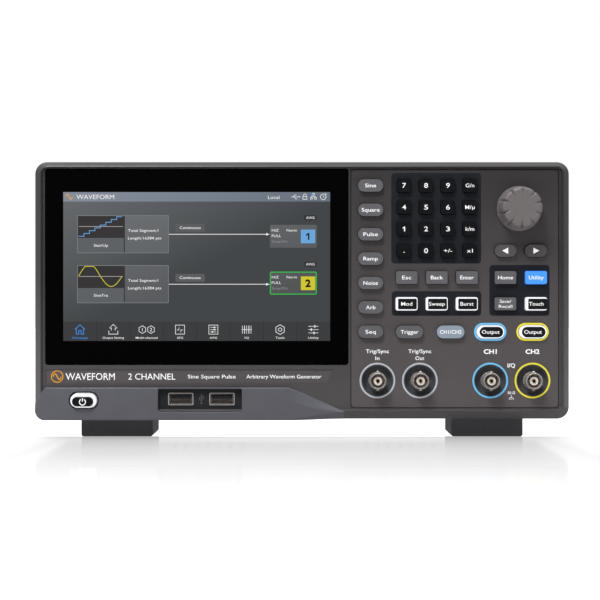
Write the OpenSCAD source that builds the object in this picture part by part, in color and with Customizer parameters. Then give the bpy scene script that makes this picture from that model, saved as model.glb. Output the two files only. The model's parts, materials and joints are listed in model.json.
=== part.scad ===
// Benchtop two-channel function generator: display and touch glass on the left of the front, keys,
// tuning knob and four coaxial jacks on the right, a folding carry handle in the top, tilt legs in
// the front feet, and a fan, mains inlet and data sockets at the back.
// +X is to the right of someone facing the front, +Y goes to the back, +Z is up.

/* [Body] */
// Width of the body over its side walls
body_w = 312; // [310:1:380]
// Height of the body, without its feet
body_h = 150; // [146:1:185]
// Depth from the front panel's plane to the rear wall
body_d = 107.5; // [104:0.5:140]
// Corner radius of the body's outline
body_r = 7; // [5:0.5:8]
// Height of the feet under the body
foot_h = 11; // [10:0.5:16]
// Wall of the rear case
case_wall = 2; // [1.6:0.1:2.6]

/* [Front bezel] */
// Depth of the bezel behind the panel's plane
bezel_d = 16.5; // [15:0.5:22]
// Front wall of the bezel
face_t = 3; // [2.8:0.1:3.4]
// Width of the bezel's closed border, seen from the front
bezel_border = 5; // [4.5:0.1:5]
// How far the rim stands in front of the panel's plane
ridge_proud = 1.6; // [1:0.1:2]
// Width of the rim's outer chamfer at the sides
rim_side = 3.4; // [2.5:0.1:4]
// Width of the rim's outer chamfer at the top
rim_top = 2; // [1.5:0.1:3]
// Width of the rim's outer chamfer at the bottom
rim_bottom = 4.2; // [3:0.1:4.4]
// Depth of the rim's outer chamfer
rim_depth = 9.6; // [6:0.1:12]
// Width of the rim's inner slope
rim_inner = 1; // [0.8:0.1:1.4]
// How far the chin stands in front of the panel's plane
chin_proud = 2; // [1.6:0.1:2.6]
// Height of the chin above the body's bottom
chin_h = 19; // [18:0.5:20]

/* [Display] */
// Width of the touch glass
glass_w = 174.6; // [170:0.1:176]
// Height of the touch glass
glass_h = 112.7; // [106:0.1:113]
// Thickness of the touch glass
glass_t = 1.8; // [1.1:0.1:2]
// Width of the display's active area, 7 inches across its corners
lcd_w = 154.08; // [150:0.01:155]
// Height of the display's active area
lcd_h = 85.92; // [80:0.01:86]
// Frame of the display module round its active area
lcd_frame = [5.4, 7.04]; // [4:0.01:8]
// Thickness of the display module
lcd_t = 5.6; // [4:0.1:6]

/* [Control panel] */
// Width of the printed control inlay
inlay_w = 119.5; // [118:0.1:122]
// Thickness of the inlay
inlay_t = 1.2; // [0.8:0.1:1.4]
// How far the keys stand out of the panel
key_proud = 2.2; // [1.4:0.1:3]
// How far a key can be pressed
key_travel = 1.2; // [0.8:0.1:1.4]
// Spacing of the digit keys across
digit_px = 12.63; // [12.2:0.01:12.8]
// Spacing of the digit keys down
digit_pz = 12.53; // [12.2:0.01:13]
// Spacing of the waveform keys down
wave_pz = 14.05; // [13.4:0.01:14.2]
// Spacing of the two output channels
channel_px = 24.4; // [22:0.1:26]

/* [Tuning knob] */
// How far the knob stands out of the panel
knob_proud = 16; // [14:0.5:19]
// Diameter of the knob at its base
knob_d = 26; // [22:0.5:28]
// Diameter of the knob's front face
knob_face_d = 22.8; // [20:0.2:24]
// Number of finger grooves round the knob
knob_grooves = 10; // [8:1:14]
// Diameter of the encoder's shaft
shaft_d = 6; // [5:0.5:6]

/* [Coaxial jacks] */
// Outside diameter of a jack's barrel
jack_d = 9.6; // [9.4:0.1:9.8]
// How far the front jacks stand out of the panel
jack_proud = 8; // [6:0.5:10]
// How far the rear jacks stand out of the rear wall
rear_proud = 9.5; // [9:0.5:12]
// Depth of the dish round each front jack
dish_depth = 4.5; // [3.5:0.1:4.8]
// Diameter of the dish at the panel
dish_d = 18.6; // [17:0.1:19]

/* [Feet and tilt legs] */
// Width of a foot
foot_w = 42; // [38:0.5:46]
// Depth of a front foot
foot_d = 40; // [36:0.5:44]
// Distance from the body's side to the outer face of a foot
foot_inset = 26; // [20:0.5:40]
// Thickness of a tilt leg
leg_t = 5; // [4:0.1:5.2]

/* [Carry handle] */
// Width of the handle over its arms
handle_w = 150; // [130:1:180]
// Distance from the handle's pivot to the middle of its grip
handle_reach = 38; // [34:0.5:40]
// Width of the grip across its fingers' side
grip_w = 12; // [10:0.5:13]
// Thickness of the handle
handle_t = 8; // [7:0.1:8.4]

/* [Fan] */
// Side of the square fan frame
fan_size = 60; // [50:1:60]
// Number of fan blades
fan_blades = 7; // [5:1:9]

/* [Clearances] */
// Gap round a seated panel, glass or socket
seat_gap = 0.15; // [0.1:0.05:0.25]
// Gap round a key in its opening
key_gap = 0.25; // [0.2:0.05:0.35]
// Radial gap between a shaft and its bearing
run_gap = 0.05; // [0.04:0.01:0.08]
// Gap between pieces that must not touch
free_gap = 0.4; // [0.3:0.05:0.6]

/* [Hidden] */
$fn = 48;
cut = 0.5;

// Planes of the body
total_d = knob_proud + body_d + rear_proud;
panel_y = knob_proud - total_d / 2;
rear_y = panel_y + body_d;
ridge_y = panel_y - ridge_proud;
chin_y = panel_y - chin_proud;
face_back_y = panel_y + face_t;
split_y = panel_y + bezel_d;
inner_rear_y = rear_y - case_wall;
top_z = foot_h + body_h;
right_x = body_w / 2;
left_x = -body_w / 2;

// Places of the glass and the inlay in the front
glass_x0 = left_x + 7.9;
glass_top = top_z - 5.1;
glass_c = [glass_x0 + glass_w / 2, glass_top - glass_h / 2];
lcd_c = [glass_x0 + 10.2 + lcd_w / 2, glass_top - 13.2 - lcd_h / 2];
lcd_out = [lcd_w + 2 * lcd_frame[0], lcd_h + 2 * lcd_frame[1]];
inlay_x0 = right_x - 8.1 - inlay_w;
inlay_top = top_z - 5.3;
inlay_bottom = foot_h + 7.4;
inlay_h = inlay_top - inlay_bottom;
inlay_c = [inlay_x0 + inlay_w / 2, (inlay_top + inlay_bottom) / 2];

// The name strip and the chin under the glass
strip_z = [foot_h + 21, foot_h + 29.3];
strip_x = [left_x + 8.1, inlay_x0 - 10.3];
strip_slant = 3.3;
strip_depth = 0.5;
chin_top = foot_h + chin_h;
chin_low = foot_h + rim_bottom + 0.8;
chin_x = [inlay_x0 - 36.4, inlay_x0 - 4];
chin_steps = 16;
usb_c = [left_x + 97.1, foot_h + 11.7];
usb_recess = [48.3, 13.5];
usb_floor_y = panel_y + 1;
port_x = [usb_c[0] - 11.2, usb_c[0] + 12.6];
port_z = usb_c[1] + 0.5;
port_lip = [14.5, 7.1];
port_shell = [13.1, 5.8];
power_c = [left_x + 30.1, foot_h + 11.5];
power_size = [14.9, 8.3];
power_recess = [17.6, 10.4];
power_floor_y = panel_y - 0.4;

// Keys: name, place from the inlay's left edge and the body's top, width, height, corner radius
stadium = [14.5, 7.2, 3.58];
digit = [8, 7.9, 1.3];
menu = [12.4, 7.4, 1];
wide = [15.8, 7.4, 3.68];
arrow = [12.4, 7.1, 3.53];
wave_names = ["sine_key", "square_key", "pulse_key", "ramp_key", "noise_key", "arb_key", "seq_key"];
digit_names = [
    ["digit_7_key", "digit_8_key", "digit_9_key", "giga_nano_key"],
    ["digit_4_key", "digit_5_key", "digit_6_key", "mega_micro_key"],
    ["digit_1_key", "digit_2_key", "digit_3_key", "kilo_milli_key"],
    ["point_key", "digit_0_key", "sign_key", "unit_key"]];
edit_names = [["esc_key", "back_key", "enter_key"], ["mod_key", "sweep_key", "burst_key"]];
menu_names = [["home_key", "utility_key"], ["save_recall_key", "touch_key"]];
row_1 = 14.6;
row_menu = 67.65;
row_mode = 82.8;
row_out = 99;
channel_x = [80.25, 80.25 + channel_px];
KEYS = concat(
    [for (i = [0:6]) [wave_names[i], 11.1, row_1 + i * wave_pz, stadium]],
    [for (r = [0:3], c = [0:3]) [digit_names[r][c], 30.4 + c * digit_px, row_1 + r * digit_pz, digit]],
    [for (r = [0:1], c = [0:2]) [edit_names[r][c], 31.9 + c * 17.35, [row_menu, row_mode][r], menu]],
    [for (r = [0:1], c = [0:1]) [menu_names[r][c], 88.8 + c * 17.7, [row_menu, row_mode][r], menu]],
    [["left_key", 88.9, 52.2, arrow], ["right_key", 106.3, 52.2, arrow]],
    [["trigger_key", 33.5, row_out, wide], ["channel_key", 57.2, row_out, wide]],
    [["output_1_key", channel_x[0], row_out, wide], ["output_2_key", channel_x[1], row_out, wide]]);
knob_c = [inlay_x0 + 96.9, top_z - 27.8];
jack_z = foot_h + 22.9;
jack_x = [for (x = [15.1, 39.6, channel_x[0], channel_x[1]]) inlay_x0 + x];
bush_d = 7;

// Inside of a coaxial jack: its bore, insulator and contact, and its nut and body behind the panel
jack_bore = [4.05, 8];
jack_core_r = 2.45;
jack_pin_r = 1.05;
jack_nut = [6.4, 2.2];
jack_tail = 8;

// The front board and its switches
flange_t = 1;
flange_w = 1;
key_back_y = face_back_y + 0.2 + flange_t + 0.3;
switch_front_y = key_back_y + key_travel + 0.1;
board_t = 1.6;
board_y = switch_front_y + 1.8;
board_x = [inlay_x0 + 2.6, inlay_x0 + inlay_w - 6];
board_z = [inlay_bottom + 6, top_z - 10.5];
board_boss_x = [board_x[0] + 3, board_x[1] - 3];
board_boss_z = [board_z[0] + 3, top_z - row_1 - 1.5 * wave_pz];
socket_board_y = [switch_front_y + 0.6, split_y - 0.5];
encoder_size = 12.4;
encoder_y = face_back_y + 0.2;

// The long posts that the rear screws go into
post_r = 4;
post_x = right_x - bezel_border - 3.5;
post_z = [foot_h + bezel_border + 3.5, top_z - bezel_border - 3.5];
screw_r = 1.2;

// Rear panel
inlet_c = [left_x + 34, foot_h + 28];
inlet_flange = [30.7, 23.7];
inlet_body = [27.2, 20];
inlet_flange_t = 2.4;
fan_c = [right_x - 62, foot_h + 84];
fan_t = 15;
fan_hub_r = 12;
fan_axle_r = 1.5;
rear_jack_x = [left_x + 165, left_x + 195, left_x + 225];
rear_jack_z = foot_h + 30;
board_top_z = foot_h + 10.1;
lan_c = [left_x + 105, board_top_z + 6.75];
lan_size = [16, 13.5];
usb_b_c = [left_x + 132, board_top_z + 5.3];
usb_b_size = [12, 10.6];
usb_b_hole = [8.5, 7.8];
lan_hole = [11.8, 8.6];
port_deep = 14;
port_hole = [12.4, 5.1];
port_tongue = [11.2, 1.8];
inlet_hole = [24.2, 16.6];

// Carry handle and the tub that it lies in
pivot_y = panel_y + 74.5;
pivot_z = top_z - handle_t / 2 - 0.8;
trunnion_r = 3;
tub_wall = 3.6;
tub_end = 1.8;
tub_x = handle_w / 2 + 1;
tub_y = [pivot_y - handle_reach - grip_w / 2 - 7, pivot_y + 6.5];
tub_floor = pivot_z - handle_t / 2 - 2;

// Feet and tilt legs
foot_x = right_x - foot_inset - foot_w / 2;
foot_y0 = split_y + 2;
rear_foot_d = 14;
rear_foot_x = foot_x + 8;
leg_w = foot_w - 8;
leg_pocket = [leg_w + 0.8, foot_d - 7, foot_h - 2];
leg_pivot = [foot_y0 + 3.5 + 4.2, 5.4];
leg_len = leg_pocket[1] - 4.2 - 1.3;
pin_r = 1.8;

// ---- Shapes used all over ----

// A rectangle with round corners
module round_rect(w, h, r) {
    square([w - 2 * r, h], center = true);
    square([w, h - 2 * r], center = true);
    for (x = [-1, 1], z = [-1, 1]) translate([x * (w / 2 - r), z * (h / 2 - r)]) circle(r);
}

// What is drawn in XZ, pushed from the plane y0 back to y1
module along_y(y0, y1) {
    translate([0, y1, 0]) rotate([90, 0, 0]) linear_extrude(y1 - y0) children();
}

// A rounded block between two planes, centred on a place in the front
module block(c, size, r, y0, y1) {
    along_y(y0, y1) translate(c) round_rect(size[0], size[1], r);
}

// A cylinder along Y between two planes
module rod(c, r, y0, y1) {
    translate([c[0], y1, c[1]]) rotate([90, 0, 0]) cylinder(h = y1 - y0, r = r);
}

// The body's outline drawn in by some amount at the sides, top and bottom
module outline(side, top, bottom, r) {
    translate([0, foot_h + bottom + (body_h - top - bottom) / 2])
        round_rect(body_w - 2 * side, body_h - top - bottom, r);
}

function key_place(k) = [inlay_x0 + k[1], top_z - k[2]];
function smooth(t) = t * t * (3 - 2 * t);

// ---- Front ----

// The chin's outline: its left end leans out to the body's side, its top is level and then falls in
// one smooth curve to the lower rim, and its right end leans back under that curve
module chin_shape() {
    curve = [for (i = [0:chin_steps]) let (t = i / chin_steps)
        [chin_x[0] + t * (chin_x[1] - chin_x[0]), chin_top + smooth(t) * (chin_low - chin_top)]];
    polygon(concat([[left_x - 1, foot_h - 1], [left_x - 1, chin_top - 10], [left_x + rim_side, chin_top]],
                   curve, [[chin_x[1] - 14, foot_h - 1]]));
}

// The name strip, with its slanted right end
module strip_shape() {
    polygon([[strip_x[0], strip_z[0]], [strip_x[0], strip_z[1]],
             [strip_x[1], strip_z[1]], [strip_x[1] - strip_slant, strip_z[0]]]);
}

module bezel_solid() {
    hull() {
        along_y(ridge_y, ridge_y + 0.4)
            outline(rim_side, rim_top, rim_bottom, body_r - rim_side / 2, $fn = 32);
        along_y(ridge_y + rim_depth, ridge_y + rim_depth + 0.4) outline(0, 0, 0, body_r, $fn = 32);
    }
    along_y(ridge_y + rim_depth, split_y) outline(0, 0, 0, body_r);
}

module panel_sink() {
    lip = 0.7;
    slope = lip + rim_inner;
    hull() {
        along_y(ridge_y - cut, ridge_y)
            outline(rim_side + lip, rim_top + lip, rim_bottom + lip, 3.5, $fn = 32);
        along_y(panel_y - 0.01, panel_y)
            outline(rim_side + slope, rim_top + slope, rim_bottom + slope, 3, $fn = 32);
    }
}

module key_openings(y0, y1, gap) {
    for (k = KEYS)
        block(key_place(k), [k[3][0] + 2 * gap, k[3][1] + 2 * gap], k[3][2] + gap, y0, y1);
}

module jack_dish(x) {
    translate([x, panel_y + dish_depth, jack_z]) rotate([90, 0, 0])
        cylinder(h = dish_depth + 0.01, r1 = dish_d / 2 - 2.2, r2 = dish_d / 2);
    rod([x, jack_z], jack_d / 2 + seat_gap, panel_y + dish_depth - cut, panel_y + dish_depth + 4);
}

module front_bezel() color("#4d4a4a") difference() {
    union() {
        difference() {
            union() {
                difference() {
                    bezel_solid();
                    panel_sink();
                }
                intersection() {
                    along_y(chin_y, ridge_y + rim_depth + cut) outline(0, 0, 0, body_r);
                    along_y(chin_y - 1, split_y) chin_shape();
                }
            }
            along_y(face_back_y, split_y + cut)
                outline(bezel_border, bezel_border, bezel_border, 3);
        }
        for (x = jack_x) rod([x, jack_z], dish_d / 2 + 1.2, panel_y + inlay_t, panel_y + dish_depth + 1.6);
        for (x = [-post_x, post_x], z = post_z) rod([x, z], post_r, face_back_y - cut, inner_rear_y);
        for (x = board_boss_x, z = board_boss_z) rod([x, z], 2, face_back_y - cut, board_y);
    }
    block(glass_c, [glass_w + 2 * seat_gap, glass_h + 2 * seat_gap], 2, panel_y - cut, panel_y + glass_t);
    block(lcd_c, lcd_out + 2 * [seat_gap, seat_gap], 1, panel_y - cut, face_back_y + cut);
    block(inlay_c, [inlay_w + 2 * seat_gap, inlay_h + 2 * seat_gap], 2, panel_y - cut, panel_y + inlay_t);
    along_y(panel_y - 0.01, panel_y + strip_depth) strip_shape();
    key_openings(panel_y, face_back_y + cut, key_gap);
    rod(knob_c, bush_d / 2 + seat_gap, panel_y, face_back_y + cut);
    for (x = jack_x) jack_dish(x);
    block(usb_c, usb_recess, 1.2, chin_y - cut, usb_floor_y);
    for (x = port_x) block([x, port_z], port_lip + 2 * [seat_gap, seat_gap], 1, panel_y, face_back_y + cut);
    block(power_c, power_recess, 5.19, chin_y - cut, power_floor_y);
    block(power_c, power_size + 2 * [key_gap, key_gap], power_size[1] / 2 + key_gap - 0.01,
          chin_y - cut, face_back_y + cut);
    for (x = [-post_x, post_x], z = post_z)
        rod([x, z], screw_r + run_gap, inner_rear_y - 12, inner_rear_y + cut);
}

module control_inlay() color("#54504f") difference() {
    block(inlay_c, [inlay_w, inlay_h], 1.85, panel_y, panel_y + inlay_t);
    key_openings(panel_y - cut, panel_y + inlay_t + cut, key_gap);
    rod(knob_c, bush_d / 2 + seat_gap, panel_y - cut, panel_y + inlay_t + cut);
    for (x = jack_x) rod([x, jack_z], dish_d / 2, panel_y - cut, panel_y + inlay_t + cut);
}

module touch_glass() color("#050506")
    block(glass_c, [glass_w, glass_h], 1.85, panel_y, panel_y + glass_t);

module display_module() color("#9a9ea2")
    block(lcd_c, lcd_out, 0.85, panel_y + glass_t, panel_y + glass_t + lcd_t);

// A key: the cap in front, a flange behind the bezel's wall and a stem for its switch
module key_solid(c, size, r, front_y) {
    block(c, size, r, front_y, face_back_y + 0.2 + cut);
    block(c, size + 2 * [flange_w, flange_w], r + 0.5, face_back_y + 0.2, face_back_y + 0.2 + flange_t);
    rod(c, 1.6, face_back_y + 0.2, key_back_y);
}

function key_colour(name) =
    name == "channel_key" ? "#8f9eae" :
    name == "utility_key" ? "#4b9dff" :
    len([for (row = digit_names, n = row) if (n == name) n]) > 0 ? "#1b1c21" : "#6b6a6d";

module front_key(k) color(key_colour(k[0]))
    key_solid(key_place(k), [k[3][0], k[3][1]], k[3][2], panel_y - key_proud);

module power_key() color("#e6e8ee")
    key_solid(power_c, power_size, power_size[1] / 2 - 0.01, chin_y - 1.5);

// The knob: a waisted cap with finger grooves, hollow at the back, on the encoder's shaft
module tuning_knob() color("#706a6b") {
    base = 0.6;
    h = knob_proud - base;
    groove_r = 1.3;
    groove_depth = 1.1;
    groove_lean = atan2((knob_d - knob_face_d) / 2, h);
    translate([knob_c[0], panel_y - base, knob_c[1]]) rotate([90, 0, 0]) difference() {
        rotate_extrude() polygon([[bush_d / 2 + 0.8, 0], [knob_d / 2, 0], [knob_d / 2, 1.6],
            [knob_d / 2 - 0.5, 2.2], [knob_face_d / 2 + 0.5, h - 1.2], [knob_face_d / 2 - 0.9, h],
            [0, h], [0, 2.4], [bush_d / 2 + 0.8, 2.4]]);
        for (i = [0:knob_grooves - 1]) rotate([0, 0, 10 + i * 360 / knob_grooves])
            translate([knob_d / 2 - groove_depth + groove_r, 0, 2.2])
                rotate([0, -groove_lean, 0]) cylinder(h = h, r = groove_r);
    }
    rod(knob_c, shaft_d / 2, panel_y - base - h / 2, board_y - 1);
}

// Switches and the encoder on the key board, and the small board under the front sockets
module front_boards() color("#1d5a3a") difference() {
    union() {
        along_y(board_y, board_y + board_t)
            translate([board_x[0], board_z[0]]) square([board_x[1] - board_x[0], board_z[1] - board_z[0]]);
        for (k = KEYS) {
            block(key_place(k), [5.2, 5.2], 0.4, board_y - 1.3, board_y + cut);
            rod(key_place(k), 1.3, switch_front_y, board_y);
        }
        block(knob_c, [encoder_size, encoder_size], 0.5, encoder_y, board_y + cut);
        rod(knob_c, bush_d / 2, panel_y - 0.5, board_y);
        translate([power_c[0] - 8, socket_board_y[0], port_z - port_shell[1] / 2 - board_t])
            cube([port_x[1] - power_c[0] + 18, socket_board_y[1] - socket_board_y[0], board_t]);
        block(power_c, [6, 4.4], 0.4, socket_board_y[0], socket_board_y[0] + 4.4);
        rod(power_c, 1.3, switch_front_y, switch_front_y + 2);
    }
    rod(knob_c, shaft_d / 2 + run_gap, panel_y - 1, board_y - free_gap);
    for (x = jack_x) rod([x, jack_z], jack_nut[0] + 1.6, board_y - cut, board_y + board_t + cut);
}

// A coaxial jack along Y: its seat at y0, its mouth len in front of it, its nut and body behind
module jack_metal(len, wall) {
    difference() {
        union() {
            cylinder(h = len, r = jack_d / 2);
            cylinder(h = 1.2, r = jack_d / 2 + 1.1);
            translate([0, 0, len - 3.4]) rotate([90, 0, 0])
                cylinder(h = jack_d + 1.7, r = 1, center = true);
        }
        translate([0, 0, len - jack_bore[1]]) cylinder(h = jack_bore[1] + cut, r = jack_bore[0]);
    }
    translate([0, 0, -wall - jack_nut[1]]) cylinder(h = jack_nut[1], r = jack_nut[0]);
    translate([0, 0, -wall - jack_tail]) cylinder(h = wall + jack_tail, r = jack_d / 2);
}

module jack_core(len) difference() {
    union() {
        translate([0, 0, len - jack_bore[1]]) cylinder(h = jack_bore[1] - 1.6, r = jack_core_r);
        translate([0, 0, len - jack_bore[1]]) cylinder(h = jack_bore[1] - 1, r = jack_pin_r);
    }
    translate([0, 0, len - 6]) cylinder(h = 6, r = 0.5);
}

module at_jacks() {
    for (x = jack_x) translate([x, panel_y + dish_depth, jack_z]) rotate([90, 0, 0]) children(0);
    for (x = rear_jack_x) translate([x, rear_y, rear_jack_z]) rotate([-90, 0, 0]) children(1);
}

module bnc_jacks() color("#b9b4ae") at_jacks() {
    jack_metal(dish_depth + jack_proud, 1.6);
    jack_metal(rear_proud, case_wall);
}

module jack_insulators() color("#f2efe6") at_jacks() {
    jack_core(dish_depth + jack_proud);
    jack_core(rear_proud);
}

// A USB-A socket: a flared metal shell with its tongue
module port(x) difference() {
    union() {
        block([x, port_z], port_lip, 0.8, usb_floor_y - 0.6, usb_floor_y + 0.4);
        block([x, port_z], port_shell, 0.5, usb_floor_y, usb_floor_y + port_deep);
    }
    difference() {
        block([x, port_z], port_hole, 0.3, usb_floor_y - 1, usb_floor_y + port_deep - 4);
        translate([x - port_tongue[0] / 2, usb_floor_y + 0.8, port_z + 0.1])
            cube([port_tongue[0], port_deep, port_tongue[1]]);
    }
}

// The network and USB-B sockets on the main board, open at the back
module rear_socket(c, size, hole, deep) difference() {
    block(c, size, 0.3, inner_rear_y - deep, rear_y + 0.6);
    block(c, hole, 0.3, inner_rear_y - deep + 2, rear_y + 1);
}

module data_sockets() color("#c4c6c9") {
    for (x = port_x) port(x);
    rear_socket(lan_c, lan_size, lan_hole, 16);
    rear_socket(usb_b_c, usb_b_size, usb_b_hole, 14);
    block(usb_b_c, [5.6, 3.2], 0.2, inner_rear_y - 13, rear_y - 1);
}

// Mains inlet: a snap-in flange outside, a body inside, and three blades in its cavity
module power_inlet() color("#16161a") {
    difference() {
        union() {
            block(inlet_c, inlet_flange, 2, rear_y, rear_y + inlet_flange_t);
            block(inlet_c, inlet_body, 1.5, rear_y - 22, rear_y + cut);
        }
        block(inlet_c, inlet_hole, 2, rear_y - 15, rear_y + inlet_flange_t + 1);
    }
    for (p = [[-7, -2], [7, -2], [0, 2]])
        translate([inlet_c[0] + p[0] - 1, rear_y - 16, inlet_c[1] + p[1] - 2]) cube([2, 14, 4]);
}

// ---- Inside ----

module main_board() color("#1c5338") {
    x0 = left_x + 92;
    x1 = post_x - post_r - 2;
    y0 = split_y + 4;
    y1 = inner_rear_y - 1;
    translate([x0, y0, board_top_z - board_t]) cube([x1 - x0, y1 - y0, board_t]);
    for (p = [[40, 22], [95, 30], [150, 20]])
        translate([x0 + p[0], y0 + p[1], board_top_z]) cube([22, 22, 3]);
    for (i = [0:6]) translate([x0 + 92 + i * 4, y0 + 28, board_top_z + 3]) cube([1.6, 26, 12]);
    translate([x0 + 91, y0 + 28, board_top_z + 2.5]) cube([28, 26, 1.6]);
    for (x = [jack_x[2], jack_x[3]]) translate([x - 9, y0 + 2, board_top_z]) cube([18, 16, 5]);
}

module power_supply() color("#6d6f52") {
    x0 = -post_x + post_r + 2;
    y0 = split_y + 4;
    y1 = rear_y - 26;
    w = left_x + 86 - x0;
    translate([x0, y0, board_top_z - board_t]) cube([w, y1 - y0, board_t]);
    translate([x0 + 6, y0 + 6, board_top_z]) cube([24, 26, 22]);
    translate([x0 + 36, y0 + 8, board_top_z]) cube([3, 40, 26]);
    for (p = [[50, 12], [50, 28], [14, 44]])
        translate([x0 + p[0], y0 + p[1], board_top_z]) cylinder(h = 24, r = 6);
}

// ---- Fan ----

module fan_frame() color("#1d1d20") difference() {
    y0 = inner_rear_y - fan_t;
    union() {
        difference() {
            block(fan_c, [fan_size, fan_size], 3, y0, inner_rear_y);
            rod(fan_c, fan_size / 2 - 1.5, y0 - cut, inner_rear_y + cut);
        }
        rod(fan_c, fan_hub_r, inner_rear_y - 3, inner_rear_y - 0.2);
        for (a = [45:90:359]) translate([fan_c[0], inner_rear_y - 2.6, fan_c[1]]) rotate([0, a, 0])
            translate([fan_hub_r - 1, 0, -1.5]) cube([fan_size / 2 + 2 - fan_hub_r, 2.2, 3]);
    }
    for (x = [-1, 1], z = [-1, 1])
        rod(fan_c + [x, z] * (fan_size / 2 - 5), 2.1, y0 - cut, inner_rear_y + cut);
    rod(fan_c, fan_axle_r + run_gap, inner_rear_y - 4, inner_rear_y - 1);
}

module fan_rotor() color("#2a2a2e") {
    y0 = inner_rear_y - fan_t + 1;
    rod(fan_c, fan_hub_r, y0, inner_rear_y - 3.6);
    rod(fan_c, fan_axle_r, y0, inner_rear_y - 1.2);
    intersection() {
        for (i = [0:fan_blades - 1]) translate([fan_c[0], y0 + 5, fan_c[1]])
            rotate([0, i * 360 / fan_blades, 0]) translate([fan_hub_r + 6, 0, 0]) rotate([40, 0, 0])
                cube([20, 11, 1.4], center = true);
        rod(fan_c, fan_size / 2 - 2.5, y0 + 0.5, inner_rear_y - 4);
    }
}

// ---- Rear case ----

module grille() {
    difference() {
        for (r = [9.5:5.6:fan_size / 2 - 3]) difference() {
            rod(fan_c, r, inner_rear_y - cut, rear_y + cut);
            rod(fan_c, r - 3.4, inner_rear_y - 1, rear_y + 1);
        }
        for (a = [0, 90]) translate([fan_c[0], rear_y, fan_c[1]]) rotate([0, a + 45, 0])
            cube([fan_size, 10, 2.4], center = true);
    }
}

module vents() {
    for (s = [-1, 1], i = [0:8])
        translate([s * (right_x - case_wall / 2) - 2, panel_y + 34 + i * 7, foot_h + 30])
            cube([4, 3, 46]);
    for (i = [0:7]) translate([left_x + 40 + i * 7, inner_rear_y - cut, foot_h + 62]) cube([3, 4, 50]);
    for (s = [-1, 1], i = [0:6])
        translate([s * 60 - 21 + i * 7, panel_y + 58, foot_h - 1]) cube([3, 34, case_wall + 2]);
}

module handle_tub(out) {
    w = out ? tub_wall : 0;
    e = out ? tub_end : 0;
    translate([-tub_x - w, tub_y[0] - e, tub_floor - e])
        cube([2 * (tub_x + w), tub_y[1] - tub_y[0] + 2 * e, top_z - tub_floor + e + (out ? -cut : cut)]);
}

module rear_case() color("#403f41") difference() {
    union() {
        difference() {
            along_y(split_y, rear_y) outline(0, 0, 0, body_r);
            along_y(split_y - cut, inner_rear_y) outline(case_wall, case_wall, case_wall, body_r - case_wall);
        }
        handle_tub(true);
        for (x = [left_x + 96, left_x + 170, post_x - 12], y = [panel_y + 24, inner_rear_y - 6])
            translate([x, y, foot_h + case_wall - cut])
                cylinder(h = board_top_z - board_t - foot_h - case_wall + cut, r = 3);
        for (x = [left_x + 16, left_x + 80], y = [panel_y + 24, rear_y - 32])
            translate([x, y, foot_h + case_wall - cut])
                cylinder(h = board_top_z - board_t - foot_h - case_wall + cut, r = 3);
    }
    handle_tub(false);
    translate([-tub_x - 2.6, pivot_y, pivot_z]) rotate([0, 90, 0])
        cylinder(h = 2 * tub_x + 5.2, r = trunnion_r + run_gap);
    grille();
    vents();
    block(inlet_c, inlet_body + 2 * [seat_gap, seat_gap], 1.6, inner_rear_y - cut, rear_y + cut);
    for (x = rear_jack_x) rod([x, rear_jack_z], jack_d / 2 + seat_gap, inner_rear_y - cut, rear_y + cut);
    block(lan_c, lan_size + 2 * [seat_gap, seat_gap], 0.4, inner_rear_y - cut, rear_y + cut);
    block(usb_b_c, usb_b_size + 2 * [seat_gap, seat_gap], 0.4, inner_rear_y - cut, rear_y + cut);
    for (x = [-post_x, post_x], z = post_z) rod([x, z], screw_r + 0.4, inner_rear_y - cut, rear_y + cut);
    block([right_x - 14, foot_h + 60], [3, 7], 1, inner_rear_y - cut, rear_y + cut);
}

module screws() color("#8c8c90") for (x = [-post_x, post_x], z = post_z) {
    rod([x, z], screw_r, inner_rear_y - 10, rear_y + cut);
    difference() {
        rod([x, z], 3, rear_y, rear_y + 2);
        translate([x, rear_y + 1.6, z]) for (a = [0, 90])
            rotate([0, a, 0]) cube([3.2, 1.6, 0.8], center = true);
    }
}

// ---- Handle, feet and tilt legs ----

module carry_handle() color("#2b2b2e") {
    arm = 8;
    out = handle_w / 2;
    r = grip_w / 2;
    front_y = pivot_y - handle_reach - r;
    translate([0, 0, pivot_z - handle_t / 2]) linear_extrude(handle_t) difference() {
        union() {
            translate([-out, front_y + r]) square([2 * out, handle_reach]);
            translate([-out + r, front_y]) square([2 * (out - r), grip_w]);
            for (s = [-1, 1]) translate([s * (out - r), front_y + r]) circle(r);
        }
        translate([-out + arm, front_y + grip_w]) square([2 * (out - arm), handle_reach + grip_w]);
    }
    for (s = [-1, 1]) {
        translate([s * (out - arm / 2), pivot_y, pivot_z]) rotate([0, 90, 0])
            cylinder(h = arm, r = handle_t / 2, center = true);
        translate([s * (out + 0.5), pivot_y, pivot_z]) rotate([0, 90, 0])
            cylinder(h = 5, r = trunnion_r, center = true);
    }
}

module foot_profile(w, r) {
    translate([-w / 2, r]) square([w, foot_h - r]);
    translate([-w / 2 + r, 0]) square([w - 2 * r, 2 * r]);
    for (s = [-1, 1]) translate([s * (w / 2 - r), r]) circle(r);
}

module feet() color("#333437") for (s = [-1, 1]) {
    difference() {
        along_y(foot_y0, foot_y0 + foot_d) translate([s * foot_x, 0]) foot_profile(foot_w, 1.4);
        translate([s * foot_x - leg_pocket[0] / 2, foot_y0 + 3.5, -1])
            cube([leg_pocket[0], leg_pocket[1], leg_pocket[2] + 1]);
        translate([s * foot_x, leg_pivot[0], leg_pivot[1]]) rotate([0, 90, 0])
            cylinder(h = leg_pocket[0] + 4, r = pin_r + run_gap, center = true);
        translate([s * foot_x, foot_y0 + foot_d, -1]) cylinder(h = 6, r = 7);
    }
    along_y(rear_y - 6 - rear_foot_d, rear_y - 6) translate([s * rear_foot_x, 0]) foot_profile(foot_w, 1.4);
}

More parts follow.
